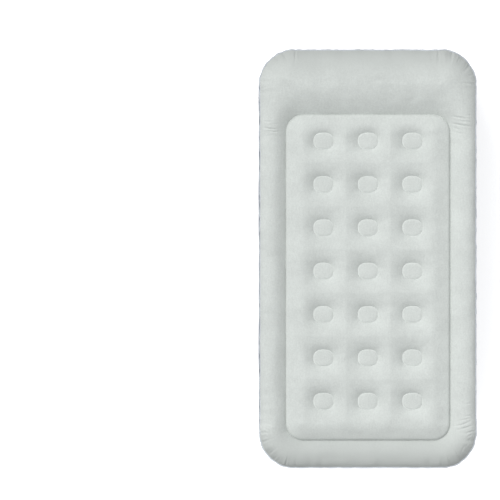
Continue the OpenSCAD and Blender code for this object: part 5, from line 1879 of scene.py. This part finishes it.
class Stage(bpy.types.Operator):
    """Make the pale floor, the soft lights and the camera"""

    bl_idname = "mattress.stage"
    bl_label = "Stage"

    def execute(self, context):
        settings = context.scene.mattress_stage
        self.floor()
        self.world(settings)
        # the key comes from beyond the pillow's left corner
        self.sun("key light", (-0.58, 0.47, 0.66), 50.0, settings.key_power)
        self.area("side light", (3.2, 0.0, 2.6), (1.4, 3.0), settings.fill_power * 0.30)
        self.spare_top(self.area("end light", (-0.4, -3.7, 1.10), (3.4, 0.9), settings.fill_power))
        self.camera(context, settings)
        context.scene.view_settings.view_transform = "Standard"
        return {"FINISHED"}

    def floor(self):
        """A wide pale sweep, just below the mattress."""
        mesh = bpy.data.meshes.new("floor")
        corners = [(x * FLOOR_HALF, y * FLOOR_HALF, FLOOR_Z) for x, y in ((-1, -1), (1, -1), (1, 1), (-1, 1))]
        mesh.from_pydata(corners, [], [(0, 1, 2, 3)])
        obj = bpy.data.objects.new("floor", mesh)
        bpy.context.scene.collection.objects.link(obj)
        mesh.materials.append(finish("floor"))
        # the sweep is lit from behind, and throws no light back at the mattress
        obj.visible_diffuse = False
        obj.visible_glossy = False

    def world(self, settings):
        """A pale room: bright overhead, softer at the horizon, dim below the floor's level."""
        world = bpy.data.worlds.new("pale room")
        world.use_nodes = True
        tree = world.node_tree
        where = tree.nodes.new("ShaderNodeTexCoord").outputs["Generated"]
        up = add_node(tree, "ShaderNodeSeparateXYZ", Vector=where).outputs["Z"]
        high = remap(tree, up, 0.0, 1.0, 0.0, 1.0)
        low = remap(tree, up, -0.12, 0.08, 0.0, 1.0)
        sky = blend_colour(tree, high, (0.46, 0.47, 0.49), (1.08, 1.085, 1.10))
        sky = blend_colour(tree, low, (0.17, 0.18, 0.20), sky)
        seen = tree.nodes.new("ShaderNodeLightPath").outputs["Is Camera Ray"]
        feed(tree, tree.nodes["Background"], Color=blend_colour(tree, seen, sky, (1.35, 1.36, 1.38)),
             Strength=settings.room_light)
        bpy.context.scene.world = world

    def spare_top(self, light):
        """Keeps a light off the flocked top, as a studio's flag would."""
        shade = bpy.data.collections.new(light.name + " flag")
        shade.objects.link(bpy.data.objects["flocked_top"])
        light.light_linking.receiver_collection = shade
        shade.collection_objects[0].light_linking.link_state = "EXCLUDE"

    def sun(self, name, towards, softness, power):
        """A far light in the direction given, softness degrees wide."""
        light = bpy.data.lights.new(name, "SUN")
        light.energy = power
        light.angle = math.radians(softness)
        obj = bpy.data.objects.new(name, light)
        obj.location = Vector(towards) * 5
        obj.rotation_euler = Vector(towards).to_track_quat("Z", "Y").to_euler()
        bpy.context.scene.collection.objects.link(obj)

    def area(self, name, place, size, power):
        """A rectangular light that looks at the mattress's middle."""
        light = bpy.data.lights.new(name, "AREA")
        light.shape = "RECTANGLE"
        light.size, light.size_y = size
        light.energy = power
        obj = bpy.data.objects.new(name, light)
        obj.location = place
        obj.rotation_euler = (Vector(LIGHTS_AIM) - Vector(place)).to_track_quat("-Z", "Y").to_euler()
        bpy.context.scene.collection.objects.link(obj)
        return obj

    def camera(self, context, settings):
        """A long lens that looks straight down."""
        data = bpy.data.cameras.new("camera")
        data.lens = settings.lens
        data.clip_end = 200.0
        obj = bpy.data.objects.new("camera", data)
        obj.location = (-settings.camera_x, settings.camera_y, settings.camera_z)
        context.scene.collection.objects.link(obj)
        context.scene.camera = obj


# ---------------------------------------------------------------- panel and registration


STEPS = (SleepingTop, SideWall, SeamLips, PrintedPanels, PumpRim, PumpFascia, DialKnob, CordDoor, ScrewValve,
         HiddenParts, Stage)


class MattressPanel(bpy.types.Panel):
    """Lists the mattress's sizes, colours and building steps"""

    bl_idname = "VIEW3D_PT_mattress"
    bl_label = "Air mattress"
    bl_space_type = "VIEW_3D"
    bl_region_type = "UI"
    bl_category = "Mattress"

    def draw(self, context):
        layout = self.layout
        scene = context.scene
        for group in (scene.mattress_shape, scene.mattress_colours, scene.mattress_stage):
            column = layout.column(align=True)
            for name in group.bl_rna.properties.keys():
                if name not in ("rna_type", "name"):
                    column.prop(group, name)
        for step in STEPS:
            layout.operator(step.bl_idname)


SETTINGS = (("mattress_shape", MattressShape), ("mattress_colours", MattressColours),
            ("mattress_stage", StageSettings))
CLASSES = (*(group for _, group in SETTINGS), *STEPS, MattressPanel)


def register():
    """Adds the settings, operators and panel."""
    for cls in CLASSES:
        bpy.utils.register_class(cls)
    for name, group in SETTINGS:
        setattr(bpy.types.Scene, name, PointerProperty(type=group))


def unregister():
    """Takes them out again."""
    for name, _ in SETTINGS:
        delattr(bpy.types.Scene, name)
    for cls in reversed(CLASSES):
        bpy.utils.unregister_class(cls)


def main():
    """Builds every piece and the stage."""
    register()
    for step in STEPS:
        area, name = step.bl_idname.split(".")
        getattr(getattr(bpy.ops, area), name)()


if __name__ == "__main__":
    main()
